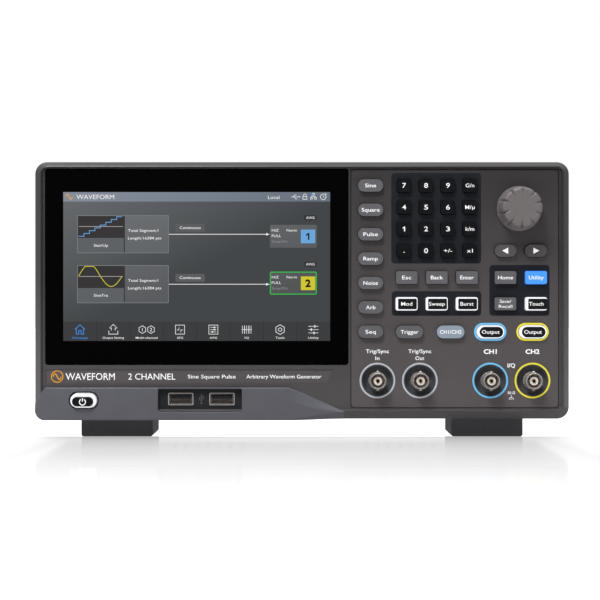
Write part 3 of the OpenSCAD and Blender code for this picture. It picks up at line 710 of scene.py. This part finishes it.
# Captions with their widths
CAPTIONS = {
    "sine": ("Sine", 6.3), "square": ("Square", 10.4), "pulse": ("Pulse", 8.3), "ramp": ("Ramp", 8.4),
    "noise": ("Noise", 8.4), "arb": ("Arb", 5.6), "seq": ("Seq", 5.9), "esc": ("Esc", 5.3),
    "back": ("Back", 7.0), "enter": ("Enter", 7.8), "mod": ("Mod", 6.4), "sweep": ("Sweep", 9.2),
    "burst": ("Burst", 7.6), "home": ("Home", 8.7), "utility": ("Utility", 8.6), "touch": ("Touch", 8.4),
    "trigger": ("Trigger", 10.2), "channel": ("CH1/CH2", 12.4), "output_1": ("Output", 10.2),
    "output_2": ("Output", 10.2), "giga_nano": ("G/n", 5.0), "mega_micro": ("M/µ", 5.4),
    "kilo_milli": ("k/m", 5.0), "sign": ("+/-", 4.8), "unit": ("x1", 3.3), "point": (".", 0.8)}
CAPTIONS.update({f"digit_{i}": (str(i), 1.3 if i == 1 else 2.2) for i in range(10)})
caption_cap = 2.1
digit_cap = 2.7
ink_t = 0.05


def ink(y):
    """Front and back planes of lettering printed on a face at the depth y"""
    return y - ink_t, y + ink_t


def key_finish(name):
    if name in FRAMED_KEYS + OUTPUT_KEYS + ("power",):
        return lit_skin, "lit_key"
    if name in DIGIT_KEYS:
        return digit_skin, "digit_key"
    if name in ("left", "right"):
        return arrow_skin, "key_plastic"
    return {"channel": (channel_skin, "channel_key"), "utility": (utility_skin, "utility_key")}.get(
        name, (key_skin, "key_plastic"))


def make_key(name, box):
    """A key's rounded cap, its dark centre if it is a lit one, and its caption"""
    body = name + "_key"
    material, slot = key_finish(name)
    dress(body, material, 0.6 if name in DIGIT_KEYS else 0.95, segments=5)
    top = box.y0
    if name in FRAMED_KEYS + OUTPUT_KEYS:
        size = (10.8, 6.1, 0.5) if name in FRAMED_KEYS else (13.6, 6.1, 3.04)
        shift = 0.8 if name == "touch" else 0.4
        top -= 0.15
        Shape().prism(rounded(box.x + shift, box.z - 0.1, *size), top, box.y0 + 0.3).piece(
            name + "_window", cap_skin, body, slot, bevel=0.12)
    shape = Shape()
    if name in ("left", "right"):
        way = -1 if name == "left" else 1
        shape.prism([(box.x + way * 1.9, box.z), (box.x - way * 1.4, box.z + 1.75),
                     (box.x - way * 1.4, box.z - 1.75)], *ink(top))
    elif name == "save_recall":
        shape.words("Save/", box.x, box.z + 1.45, 1.75, *ink(top), 6.6)
        shape.words("Recall", box.x, box.z - 1.45, 1.75, *ink(top), 7.8)
    elif name == "digit_1":
        shape.one(box.x, box.z, digit_cap, 0.62, *ink(top))
    else:
        words, width = CAPTIONS[name]
        cap = digit_cap if name.startswith("digit") else caption_cap
        shape.words(words, box.x, box.z, cap, *ink(top), width, bold=0.004)
    shape.piece(name + "_caption", white_ink_painted_glow, body, slot)


for node, box in keys.items():
    if node != "power_key":
        make_key(node[:-4], box)


def make_power_key():
    dress("power_key", lit_skin, 1.1, segments=5)
    x, z = power.x - 0.3, power.z - 0.55
    top = power.y0 - 1.1
    Shape().prism(rounded(x, z, 12.2, 5.4, 2.69, 12), top, power.y0 + 0.5).piece(
        "power_cap", cap_skin, "power_key", "lit_key", bevel=0.35, segments=4)
    icon = Shape().stroke(arc(x, z - 0.15, 1.75, 122, 418, 32), 0.55, *ink(top))
    icon.stroke([(x, z + 0.1), (x, z + 1.95)], 0.55, *ink(top))
    icon.piece("power_icon", white_ink_painted_glow, "power_key", "lit_key")


make_power_key()


# ---- Tuning knob ----

def make_knob():
    """A flared cap whose finger grooves run on over its front edge, on the encoder's shaft"""
    grooves, phase, half_width = 10, math.radians(16), math.radians(5.5)
    base = panel_y - 0.6
    front = knob.y0
    base_r = (knob.x1 - knob.x0) / 2
    face_r = base_r - 1.6
    tall = base - front
    side = [(base_r - 0.2, 0.0), (base_r, 0.2), (base_r, 1.2), (base_r - 0.15, 1.7), (base_r - 0.7, 2.6)]
    side += [(base_r - 0.7 - (base_r - 0.7 - face_r) * smooth(i / 8), 2.6 + (tall - 4.4) * i / 8)
             for i in range(1, 9)]
    side += [(face_r - 1.5 * (1 - math.cos(math.pi / 12 * i)), tall - 1.8 + 1.8 * math.sin(math.pi / 12 * i))
             for i in range(1, 7)]
    side += [(face_r - 2.4, tall), (face_r - 3.6, tall - 0.12), (5.5, tall - 0.3), (2.5, tall - 0.38)]
    steps = 360
    loops = [at_depth(circle(knob.x, knob.z, 4.3, steps), base)]
    for r, high in side:
        loop = []
        for k in range(steps):
            a = 2 * math.pi * k / steps
            off = abs((a - phase + math.pi / grooves) % (2 * math.pi / grooves) - math.pi / grooves)
            dent = max(0.0, 1 - off / half_width) ** 1.3
            up = smooth((high - 2.0) / (tall - 2.0))
            cut = dent * (0.35 + 1.05 * up) * (1 if high > 1.7 else 0)
            on_face = smooth((r - (face_r - 4.2)) / 2.6) if high > tall - 1 else 1
            here = r - cut * (1 if high < tall - 0.2 else 0.25 * on_face)
            low = dent * 1.1 * on_face * smooth((high - tall + 2) / 1.5)
            loop.append((knob.x + here * math.cos(a), base - high + low, knob.z + here * math.sin(a)))
        loops.append(loop)
    cap = Shape().loft(loops).piece("knob_cap", knob_skin, "tuning_knob", "knob_plastic", angle=60)
    Shape().lathe([(2.9, 6.0), (3.0, 5.0), (3.0, -6.0), (2.9, -6.2), (0.01, -6.2), (0.01, 6.0)],
                  knob.x, base, knob.z).piece("knob_shaft", steel, "tuning_knob", "knob_plastic")
    return cap


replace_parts(make_knob(), "tuning_knob")


# ---- Coaxial jacks ----

def make_jacks():
    """Barrels with a thread and two bayonet pins, their insulators and their centre contacts"""
    shell, sleeve, contact = Shape(), Shape(), Shape()
    r = jack_r
    thread = [(r - cut, 1.5 + step + i * 0.55) for i in range(5) for cut, step in ((0.02, 0), (0.3, 0.25))]
    pin = ((1.0, -0.4), (1.0, 0.55), (0.9, 0.75), (0.7, 0.86), (0.3, 0.9))
    for places, seat_y, n, facing in ((front_jacks, panel_y + dish_depth, dish_depth + 8, -1),
                                      (rear_jacks, case.y1, rear_jacks[0][1] - case.y1, 1)):
        for x, y, z in places:
            outside = [(r + 0.3, -0.2), (r + 0.4, 0.15), (r + 0.4, 1.0), (r + 0.3, 1.2), (r, 1.25), *thread,
                       (r, 4.4), (r, n - 0.5), (r - 0.12, n - 0.15), (r - 0.3, n)]
            inside = [(4.2, n), (4.05, n - 0.3), (4.05, n - 1.4), (3.85, n - 2.0), (3.85, n - 8),
                      (2.3, n - 8), (2.3, -0.2)]
            shell.lathe(outside + inside, x, seat_y, z, 56, facing)
            for way in (-1, 1):
                shell.loft([[(px, py, z + way * (r + rise))
                             for px, py in circle(x, seat_y + facing * (n - 3.4), pin_r, 24)]
                            for pin_r, rise in pin])
            sleeve.lathe([(2.45, n - 7.9), (2.45, n - 1.8), (2.3, n - 1.6), (1.7, n - 1.6), (1.6, n - 2.0),
                          (1.15, n - 2.0), (1.1, n - 7.9)], x, seat_y, z, 40, facing)
            contact.lathe([(1.02, n - 7.8), (1.02, n - 1.6), (0.85, n - 1.2), (0.62, n - 1.2), (0.5, n - 1.5),
                           (0.5, n - 6), (0.05, n - 6.2), (0.05, n - 7.8)], x, seat_y, z, 28, facing)
    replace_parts(shell.piece("jack_shells", nickel, slot="jack_metal", angle=35), "bnc_jacks")
    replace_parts(sleeve.piece("jack_sleeves", dielectric, slot="jack_plastic"), "jack_insulators")
    contact.piece("jack_contacts", gold, slot="jack_metal")


make_jacks()


# ---- USB ports ----

def make_ports():
    """Tongues and contacts in the USB ports, the mark between them, and the linings of both recesses"""
    tongues, pins, mark = Shape(), Shape(), Shape()
    deep = usb_floor + 0.7
    lining = Shape().prism(rounded(*usb_c, usb_recess[0] - 0.1, usb_recess[1] - 0.1, 1.15), usb_floor - 0.03,
                           usb_floor + 0.3, [rounded(x, z, 14.5, 7.1, 0.9) for x, y, z in ports])
    lining.prism(rounded(power.x, power.z, power_recess[0] - 0.1, power_recess[1] - 0.1,
                         power_recess[1] / 2 - 0.06),
                 power_floor - 0.03, power_floor + 0.3, [key_cap(power, key_gap)])
    for x, y, z in ports:
        tongues.prism(rounded(x, z + 1.0, 11.3, 1.9, 0.2), deep, deep + 8)
        for i in range(4):
            pins.prism(rounded(x + (i - 1.5) * 2.4, z - 0.02, 1.1, 0.16, 0.05), deep + 0.5, deep + 7)
        lining.band(rounded(x, z, 13.6, 6.3, 0.6), rounded(x, z, 12.5, 5.2, 0.4), usb_floor - 0.63,
                    usb_floor - 0.4)
    u, z = (ports[0][0] + ports[1][0]) / 2, ports[0][2]
    for points in ([(0, -2.4), (0, 2.0)], [(0, -1.3), (-1.0, -0.4), (-1.0, 0.3)],
                   [(0, -0.6), (1.0, 0.2), (1.0, 0.8)]):
        mark.stroke([(u + a, z + b) for a, b in points], 0.22, *ink(usb_floor))
    for outline in ([(u - 0.5, z + 1.7), (u + 0.5, z + 1.7), (u, z + 2.7)], circle(u, z - 2.4, 0.5, 20),
                    circle(u - 1.0, z + 0.5, 0.38, 16), rounded(u + 1.0, z + 1.1, 0.7, 0.7, 0.05, 2)):
        mark.prism(outline, *ink(usb_floor))
    tongues.piece("port_tongues", port_skin, slot="jack_plastic", bevel=0.1)
    pins.piece("port_pins", gold, slot="socket_metal")
    mark.piece("port_marks", port_ink, slot="bezel_plastic")
    lining.piece("recess_linings", port_skin, slot="bezel_plastic")


make_ports()


# ---- Printing on the control inlay and the name strip ----

def make_printing():
    y0, y1 = panel_y - 0.03, panel_y + 0.1
    zones = Shape()
    openings = {n: key_cap(k, key_gap) for n, k in keys.items()}

    def zone(x0, z0, x1, z1, names):
        zones.prism(rounded((x0 + x1) / 2, (z0 + z1) / 2, x1 - x0, z1 - z0, 2), y0 + 0.015, y1,
                    [openings[n + "_key"] for n in names])

    digits = [keys[n + "_key"] for n in DIGIT_KEYS]
    mod, burst, home, touch = (keys[n + "_key"] for n in ("mod", "burst", "home", "touch"))
    left = min(k.x0 for k in digits) - 2.3
    zone(left, min(k.z0 for k in digits) - 2.4, max(k.x1 for k in digits) + 1.7,
         max(k.z1 for k in digits) + 2.4, DIGIT_KEYS)
    zone(left + 0.3, mod.z - 6.9, burst.x + 8.5, mod.z + 7.3, ("mod", "sweep", "burst"))
    zone(home.x - 9, touch.z - 6.9, touch.x + 8, home.z + 7.3, ("home", "utility", "save_recall", "touch"))
    zones.piece("printed_zones", zone_ink, slot="inlay_film")

    white, blue, yellow, rings = Shape(), Shape(), Shape(), Shape()
    for (x, y, z), print_on in zip(front_jacks, (rings, rings, blue, yellow)):
        print_on.band(circle(x, z, dish_r + 1.0, 80), circle(x, z, dish_r + 0.02, 80), y0, y1)
    for name, print_on in (("output_1", blue), ("output_2", yellow)):
        key = keys[name + "_key"]
        print_on.band(rounded(key.x, key.z, 18.6, 10.3, 5.14, 12), rounded(key.x, key.z, 16.6, 8.3, 4.14, 12),
                      y0, y1)
    xs = [jack[0] for jack in front_jacks]
    z = front_jacks[0][2]
    middle = (xs[2] + xs[3]) / 2
    for words, x, up, cap, width, bold in (
            ("Trig/Sync", xs[0], 16.9, 2.1, 13.3, 0.006), ("In", xs[0], 12.9, 2.1, 2.4, 0.006),
            ("Trig/Sync", xs[1], 16.9, 2.1, 13.3, 0.006), ("Out", xs[1], 12.9, 2.1, 5.1, 0.006),
            ("CH1", xs[2], 16.7, 2.5, 7.5, 0.025), ("CH2", xs[3], 16.7, 2.5, 8.0, 0.025),
            ("I/Q", middle, 8.7, 2.2, 4.4, 0.02), ("50 Ω", middle, -7.1, 1.4, 4.2, 0.012)):
        white.words(words, x, z + up, cap, y0, y1, width, bold)
    z -= 9.4
    white.stroke([(middle, z + 1.1), (middle, z - 0.5)], 0.2, y0, y1)
    white.stroke(arc(middle, z - 1.6, 1.3, 180, 0, 14), 0.22, y0, y1)
    white.stroke([(middle - 0.75, z - 1.3), (middle + 0.75, z - 1.3)], 0.2, y0, y1)
    white.piece("panel_words", white_ink_painted_glow, slot="inlay_film")
    rings.piece("trigger_rings", ring_ink, slot="inlay_film")
    blue.piece("channel_1_rings", blue_ink_painted_glow, slot="inlay_film")
    yellow.piece("channel_2_rings", yellow_ink_painted_glow, slot="inlay_film")


def make_strip_words():
    """A plain sine mark and generic words on the name strip"""
    y0, y1 = panel_y + strip_depth - 0.05, panel_y + strip_depth + 0.1
    z = (strip_z[0] + strip_z[1]) / 2
    x = strip_x[0]
    mark = Shape().stroke(arc(x + 6.4, z, 3.3, 0, 360, 40)[:-1], 0.6, y0, y1, closed=True)
    mark.stroke([(x + 4.0 + 4.8 * i / 24, z + 1.7 * math.sin(2 * math.pi * i / 24)) for i in range(25)], 0.65,
                y0, y1)
    mark.piece("strip_mark", amber_ink, slot="inlay_film")
    words = Shape()
    for text, start, width, cap in (("WAVEFORM", 11.3, 28.4, 3.9), ("2 CHANNEL", 47.4, 27.3, 3.5),
                                    ("Sine Square Pulse", 81.9, 27.6, 2.1),
                                    ("Arbitrary Waveform Generator", 115.7, 43.4, 2.1)):
        words.words(text, x + start, z, cap, y0, y1, width, bold=0.004 if cap < 3 else 0.0, align=0)
    words.piece("strip_words", white_ink_painted_glow, slot="inlay_film")


make_printing()
make_strip_words()


# ---- Display ----

lcd_frame = (5.4, 7.04)
lcd_x, lcd_z = module.x0 + lcd_frame[0], module.z1 - lcd_frame[1]
lcd_w, lcd_h = module.w - 2 * lcd_frame[0], module.h - 2 * lcd_frame[1]
bar_h = 5.45
nav_v = 74.8
LIT_COLOURS = {
    "panes": "#353334", "labels": "#5d6063", "faint": "#7c7f81", "soft_tags": "#595b5d", "tags": "#323335",
    "nav": "#3a3b3d", "nav_lines": "#2c2d2f", "white": "#f2f2f2", "dim": "#8c8d8f", "blue": "#69a5da",
    "yellow": "#cfc62c", "green": "#2fb84a", "black": "#121212", "dots": "#3f8fe0", "midlines": "#b5aeac",
    "orange": "#e8a020"}
lit_shapes = {name: Shape() for name in (*LIT_COLOURS, "boxes")}


def at(u, v):
    """A place on the display, u to the right of its corner and v below it"""
    return lcd_x + u, lcd_z - v


def layer(height):
    """Front and back planes of what is drawn height above the glass"""
    return glass.y0 - height, glass.y0 + 0.02


def lit_box(name, u0, v0, u1, v1, height, r=0.2):
    lit_shapes[name].prism(rounded(*at((u0 + u1) / 2, (v0 + v1) / 2), u1 - u0, v1 - v0, r, 2), *layer(height))


def lit_frame(u0, v0, u1, v1, width, r):
    x, z = at((u0 + u1) / 2, (v0 + v1) / 2)
    w, h = u1 - u0, v1 - v0
    lit_shapes["white"].band(rounded(x, z, w, h, r, 3),
                             rounded(x, z, w - 2 * width, h - 2 * width, r * 0.5, 3), *layer(0.06))


def lit_line(points, width=0.25, name="white", height=0.06, closed=False):
    lit_shapes[name].stroke([at(u, v) for u, v in points], width, *layer(height), closed=closed)


def lit_words(words, u, v, cap, width=None, align=0.5, bold=0.003, name="white"):
    lit_shapes[name].words(words, *at(u, v), cap, *layer(0.07), width, bold, align)


def draw_status_bar():
    """A sine mark and two words, then the marks for USB, a lock, a network and a clock"""
    lit_line([(1.6 + 3.6 * i / 20, 2.7 - 1.5 * math.sin(2 * math.pi * i / 20)) for i in range(21)], 0.5,
             "orange")
    lit_words("WAVEFORM", 7.6, 2.75, 2.5, 21.8, 0, 0.0)
    lit_words("Local", 118.2, 3.0, 1.9, 6.6, 0, 0.0)
    for points, width in (
            ([(131.6, 2.75), (136.0, 2.75)], 0.28), ([(132.8, 2.75), (133.6, 1.6), (134.6, 1.6)], 0.25),
            ([(133.4, 2.75), (134.2, 3.9), (135.2, 3.9)], 0.25),
            ([(136.0, 2.3), (136.9, 2.75), (136.0, 3.2)], 0.25),
            ([(138.7, 2.5), (138.7, 1.6), (139.1, 1.1), (139.9, 1.1), (140.3, 1.6), (140.3, 2.5)], 0.28),
            ([(144.45, 1.9), (144.45, 2.5)], 0.25),
            ([(143.3, 3.0), (143.3, 2.5), (145.6, 2.5), (145.6, 3.0)], 0.25),
            ([(150.1, 1.8), (150.1, 2.75), (150.9, 3.1)], 0.25),
            ([(151.0, 0.8), (151.9, 1.2), (151.2, 1.9)], 0.28)):
        lit_line(points, width)
    lit_frame(138.2, 2.4, 140.8, 4.3, 0.3, 0.3)
    for u, v in ((143.3, 3.5), (145.6, 3.5), (144.45, 1.1)):
        lit_frame(u - 0.7, v - 0.5, u + 0.7, v + 0.7, 0.25, 0.15)
    lit_box("dots", 142.7, 0.9, 144.0, 2.1, 0.08, 0.5)
    lit_shapes["white"].stroke(arc(*at(150.1, 2.75), 1.6, 60, 400, 24), 0.3, *layer(0.06))


def stairs():
    """Eight steps up across a pane"""
    return [(8.8 + 3.15 * (i + end), 25.5 - 11.3 * i / 7) for i in range(8) for end in (0, 1)]


def clipped_sine():
    """A sine across a pane, its crest cut off flat"""
    swing = [math.sin(2 * math.pi * i / 48) for i in range(49)]
    return [(8.8 + 25.2 * i / 48, 48.6 - (min(5.7, 7 * h) if h > 0 else 5.9 * h))
            for i, h in enumerate(swing)]


def draw_channel(top, name, wave, colour, second):
    """One channel's row, top below the display's corner: its segment box with the wave, the run mode tag,
    the arrow and the output box, which is framed in green for the second channel"""
    lit_box("faint", 8.0, top, 60.9, top + 21.9, 0.035, 0.4)
    lit_box("boxes", 8.35, top + 0.35, 60.55, top + 21.55, 0.04, 0.3)
    lit_box("panes", 8.4, top + 0.4, 35.2, top + 13.2, 0.045)
    lit_box("labels", 8.4, top + 13.5, 35.2, top + 21.5, 0.045)
    lit_box("panes", 35.0, top + 0.4, 35.6, top + 21.5, 0.05, 0.1)
    lit_line([(9.0, top + 6.5), (34.4, top + 6.5)], 0.3, "midlines", 0.055)
    lit_line(wave, 0.42, colour, 0.07)
    lit_box("soft_tags", 64.8, top + 5.0, 81.7, top + 9.6, 0.045, 0.3)
    lit_line([(61.0, top + 11.0), (118.2, top + 11.0)], 0.34, height=0.05)
    x, z = at(119.1, top + 11.0)
    lit_shapes["white"].prism([(x, z), (x - 1.9, z + 0.75), (x - 1.9, z - 0.75)], *layer(0.055))
    lift = 2 if second else 0
    lit_box("tags", 139.1, top - lift, 146.2, top + 2.9 - lift, 0.045, 0.5)
    x, z = at(142.65, top + 3.6 - lift)
    lit_shapes["tags"].prism([(x - 1.2, z + 0.9), (x + 1.2, z + 0.9), (x, z - 0.1)], *layer(0.044))
    high, edge = top + 5.5 - lift * 0.9, 0.6 if second else 0.25
    lit_box("green" if second else "soft_tags", 119.3, high, 146.4, high + 13.3, 0.04, 0.8 if second else 0.5)
    lit_box("boxes", 119.3 + edge, high + edge, 146.4 - edge, high + 13.3 - edge, 0.045, 0.3)
    for words, u, v, cap, width, align in (
            (name, 21.7, top + 17.4, 1.5, 8.2, 0.5), ("Total Segment:1", 37.4, top + 8.8, 1.5, 17.4, 0),
            ("Length:16384 pts", 37.4, top + 13.2, 1.5, 19.2, 0),
            ("Continuous", 73.3, top + 7.2, 1.5, 12.1, 0.5),
            ("AWG", 142.65, top + 1.45 - lift, 1.4, 4.9, 0.5), ("HiZ", 120.4, high + 3.2, 1.4, 4.0, 0),
            ("Norm", 129.0, high + 3.2, 1.4, 5.9, 0), ("FULL", 120.4, high + 6.4, 1.4, 5.4, 0)):
        lit_words(words, u, v, cap, width, align)
    lit_words("Stop/On", 120.4, high + 9.6, 1.3, 9.2, 0, name="dim")
    lit_box(colour, 137.2, high + 2.8, 145.5, high + 10.7, 0.055, 0.3)
    x, z = at(141.35, high + 6.75)
    if second:
        lit_shapes["black"].words("2", x, z, 4.0, *layer(0.07), 3.1, bold=0.045)
    else:
        lit_shapes["black"].one(x, z, 4.0, 0.85, *layer(0.07))


def draw_navigation():
    """The bar of eight menu marks with their words"""
    pitch = lcd_w / 8
    lit_box("nav", 0.0, nav_v, lcd_w, lcd_h, 0.04, 0.05)
    for i in range(1, 8):
        lit_box("nav_lines", i * pitch - 0.15, nav_v, i * pitch + 0.15, lcd_h, 0.045, 0.05)
    for i, (words, width) in enumerate((
            ("Homepage", 9.0), ("Output Setting", 12.4), ("Multi-channel", 12.6), ("AFG", 3.6), ("AWG", 4.2),
            ("I/Q", 2.4), ("Tools", 5.2), ("Utility", 6.0))):
        lit_words(words, (i + 0.5) * pitch, nav_v + 9.3, 1.15, width, name="white" if i else "dots")

    def mark(i, points, width, closed=False, name="white"):
        lit_line([((i + 0.5) * pitch + a, nav_v + 4.6 - b) for a, b in points], width, name, closed=closed)

    square = [(-2.6, -2.6), (2.6, -2.6), (2.6, 2.6), (-2.6, 2.6)]
    mark(0, [(-2.9, 0.1), (0, 2.8), (2.9, 0.1)], 0.42, name="dots")
    mark(0, [(-2.1, 0.6), (-2.1, -2.6), (-0.7, -2.6), (-0.7, -0.6), (0.7, -0.6), (0.7, -2.6), (2.1, -2.6),
             (2.1, 0.6)], 0.42, name="dots")
    mark(1, [(-1.1, -0.4), (-1.1, 0.9), (-2.2, 0.9), (0, 3.0), (2.2, 0.9), (1.1, 0.9), (1.1, -0.4)], 0.32)
    mark(1, [(-2.6, -0.6), (-2.6, -2.6), (2.6, -2.6), (2.6, -0.6)], 0.32)
    for u, number in ((-2.5, "1"), (2.5, "2")):
        mark(2, arc(u, 0, 2.2, 30, 330, 5), 0.28, True)
        lit_words(number, 2.5 * pitch + u, nav_v + 4.6, 1.9)
    mark(3, square, 0.28, True)
    mark(3, [(-1.8, -0.2), (-0.9, -0.2), (-0.5, 1.4), (0.3, -1.6), (0.8, -0.2), (1.8, -0.2)], 0.28)
    mark(4, square, 0.28, True)
    for z, u in ((1.3, 0.6), (0.0, 0.6), (-1.3, -0.6)):
        mark(4, [(-1.7, z), (1.7, z)], 0.25)
        mark(4, [(u - 0.4, z), (u + 0.4, z)], 0.8)
    for k in range(5):
        mark(5, [((k - 2) * 1.25, -2.3), ((k - 2) * 1.25, 2.3)], 0.4 if k % 2 else 0.25)
    mark(5, [(-2.9, 0), (2.9, 0)], 0.25)
    mark(6, arc(0, 0, 2.8, 30, 330, 5), 0.32, True)
    mark(6, circle(0, 0, 1, 16), 0.3, True)
    for z, u in ((1.9, 1.0), (0.0, -1.0), (-1.9, 0.6)):
        mark(7, [(-2.9, z), (2.9, z)], 0.25)
        mark(7, [(u - 0.2, z - 0.75), (u - 0.2, z + 0.75)], 0.55)


def make_display():
    """What the display shows, one piece for each colour, on a background that darkens downwards"""
    draw_status_bar()
    draw_channel(13.35, "StairUp", stairs(), "blue", second=False)
    draw_channel(42.2, "SineTra", clipped_sine(), "yellow", second=True)
    draw_navigation()
    mid_x, low_z, right = lcd_x + lcd_w / 2, lcd_z - lcd_h, lcd_x + lcd_w
    back = Shape().prism(rounded(mid_x, lcd_z - lcd_h / 2, lcd_w, lcd_h, 0.05, 1), *layer(0.02))
    bar = Shape().prism(rounded(mid_x, lcd_z - bar_h / 2, lcd_w, bar_h, 0.05, 1), *layer(0.03))
    for name, shape, light in (
            ("background", back,
             ("#646769", "#414446", lcd_z - 0.5 * lcd_x - 6, low_z - 0.5 * lcd_x + 3, 0.5)),
            ("status_bar", bar, ("#858e9a", "#67717d", lcd_z - 0.5 * lcd_x, lcd_z - 0.5 * right, 0.5)),
            ("boxes", lit_shapes.pop("boxes"),
             ("#6c6f72", "#4a4c4e", lcd_z - 0.3 * lcd_x - 15, low_z - 0.3 * right + 20, 0.3)),
            *((name, lit_shapes[name], (code,)) for name, code in LIT_COLOURS.items())):
        shape.piece("screen_" + name, lit("screen_" + name, *light), slot="screen_glass")


make_display()


# ---- Printing on the back ----

def make_back_words():
    """A word over each socket and jack on the back"""
    y0, y1 = case.y1 - 0.1, case.y1 + ink_t
    words = Shape()
    sockets = (*rear_jacks, mounts["network_socket"], mounts["usb_b_socket"])
    for (x, y, z), text, up in zip(sockets, ("Ref In", "Ref Out", "Counter", "LAN", "USB"),
                                   (10.5, 10.5, 10.5, 9.6, 11.1)):
        words.words(text, x, z + up, 2.2, y0, y1, bold=0.012, back=True)
    words.piece("back_words", white_ink_painted_glow, slot="case_paint")


make_back_words()


# ---- Camera, floor and light ----

camera_distance = 900
view_width = 346.5
sensor_width = 36
camera_data = bpy.data.cameras.new("camera")
camera_data.lens = sensor_width * camera_distance / view_width
camera_data.sensor_width = sensor_width
camera_data.clip_start = 0.05
camera = bpy.data.objects.new("camera", camera_data)
camera.location = Vector((-1.2, panel_y - camera_distance, 80.4)) * MM
camera.rotation_euler = (math.radians(90), 0, 0)
scene.collection.objects.link(camera)
scene.camera = camera


def make_floor():
    """A floor that glows as white as its surroundings but for a patch in front of the feet, where its glow is
    lowered and rises again forwards: painted shade round the object.
    """
    mesh = bpy.data.meshes.new("floor")
    x, y0, y1 = 3.0, -0.72, 3.5
    mesh.from_pydata([(-x, y0, 0), (x, y0, 0), (x, y1, 0), (-x, y1, 0)], [], [[0, 1, 2, 3]])
    floor = bpy.data.objects.new("floor", mesh)
    scene.collection.objects.link(floor)
    material = bpy.data.materials.new("floor")
    tree = Tree(material)
    place = tree.split(tree.coords())
    # Painted shade: the floor's glow is lowered close in front of the object and rises away from it.
    shaded_patch_side, side_slope = 1.2 / 9.0, 9.0
    shaded_patch_back, back_slope = -0.036, 60.0
    reach = tree.math("MULTIPLY_ADD", place["Y"], -1.0, 0.0)
    for axis, slope, edge in (("X", side_slope, shaded_patch_side), ("X", -side_slope, -shaded_patch_side),
                              ("Y", back_slope, shaded_patch_back)):
        reach = tree.math("MAXIMUM", reach, tree.math("MULTIPLY_ADD", place[axis], slope, -slope * edge))
    tree.fill(tree.nodes["Principled BSDF"], {
        "Base Color": (0.4, 0.4, 0.4, 1), "Roughness": 0.1, "Specular IOR Level": 0.5,
        "Emission Color": (1, 1, 1, 1), "Emission Strength": tree.ramp(reach, 0.05, 0.49, 0.4, 1.0)})
    mesh.materials.append(material)
    floor.visible_glossy = False


def make_world():
    """White to the camera; for light and reflections, bright above and behind and dark in front"""
    world = bpy.data.worlds.new("studio")
    scene.world = world
    tree = Tree(world)
    tree.nodes.clear()
    do = tree.math
    x, y, z = tree.split(tree.coords("Generated"))
    behind = do("MAXIMUM", y, 0.0)
    above = do("MULTIPLY", do("POWER", do("MAXIMUM", z, 0.0), 1.4), 0.6)
    around = do("MULTIPLY_ADD", do("ABSOLUTE", x), 0.03, do("MULTIPLY", behind, 0.13))
    straight_back = do("MULTIPLY", do("MAXIMUM", do("SUBTRACT", behind, 0.97), 0.0), 20.0)
    horizon = do("DIVIDE", do("ABSOLUTE", do("ADD", z, 0.09)), 0.09)
    horizon = do("MULTIPLY", do("MAXIMUM", do("SUBTRACT", 1.0, horizon), 0.0), behind)
    glow = do("ADD", do("ADD", above, around), do("MULTIPLY_ADD", horizon, 0.7, straight_back))
    glow = do("ADD", do("MINIMUM", glow, 1.1), 0.04)
    white = (1, 1, 1, 1)
    tree.add("OutputWorld", {"Surface": tree.add("MixShader", {
        "Fac": tree.add("LightPath", {}, "Is Camera Ray"),
        1: tree.add("Background", {"Color": white, "Strength": glow}),
        2: tree.add("Background", {"Color": white, "Strength": 1.0})})}, out=None)


def softbox(name, place, aim, size, power):
    """A rectangular light in metres and watts, which the camera doesn't see"""
    light = bpy.data.lights.new(name, "AREA")
    light.shape = "RECTANGLE"
    light.size, light.size_y = size
    light.energy = power
    lamp = bpy.data.objects.new(name, light)
    lamp.location = place
    lamp.rotation_euler = (Vector(aim) - Vector(place)).to_track_quat("-Z", "Y").to_euler()
    lamp.visible_camera = False
    scene.collection.objects.link(lamp)


make_floor()
make_world()
softbox("key_softbox", (-0.35, -0.85, 1.25), (0, 0, 0.08), (0.5, 0.34), 13)
softbox("left_corner_light", (-0.56, 1.84, 0.62), (-0.15, -0.05, 0.16), (0.22, 0.22), 0.9)
softbox("right_corner_light", (0.56, 1.84, 0.62), (0.15, -0.05, 0.16), (0.22, 0.22), 0.3)
softbox("top_softbox", (0, 0.12, 1.5), (0, 0, 0.1), (1.2, 0.5), 11)
scene.view_settings.view_transform = "Standard"
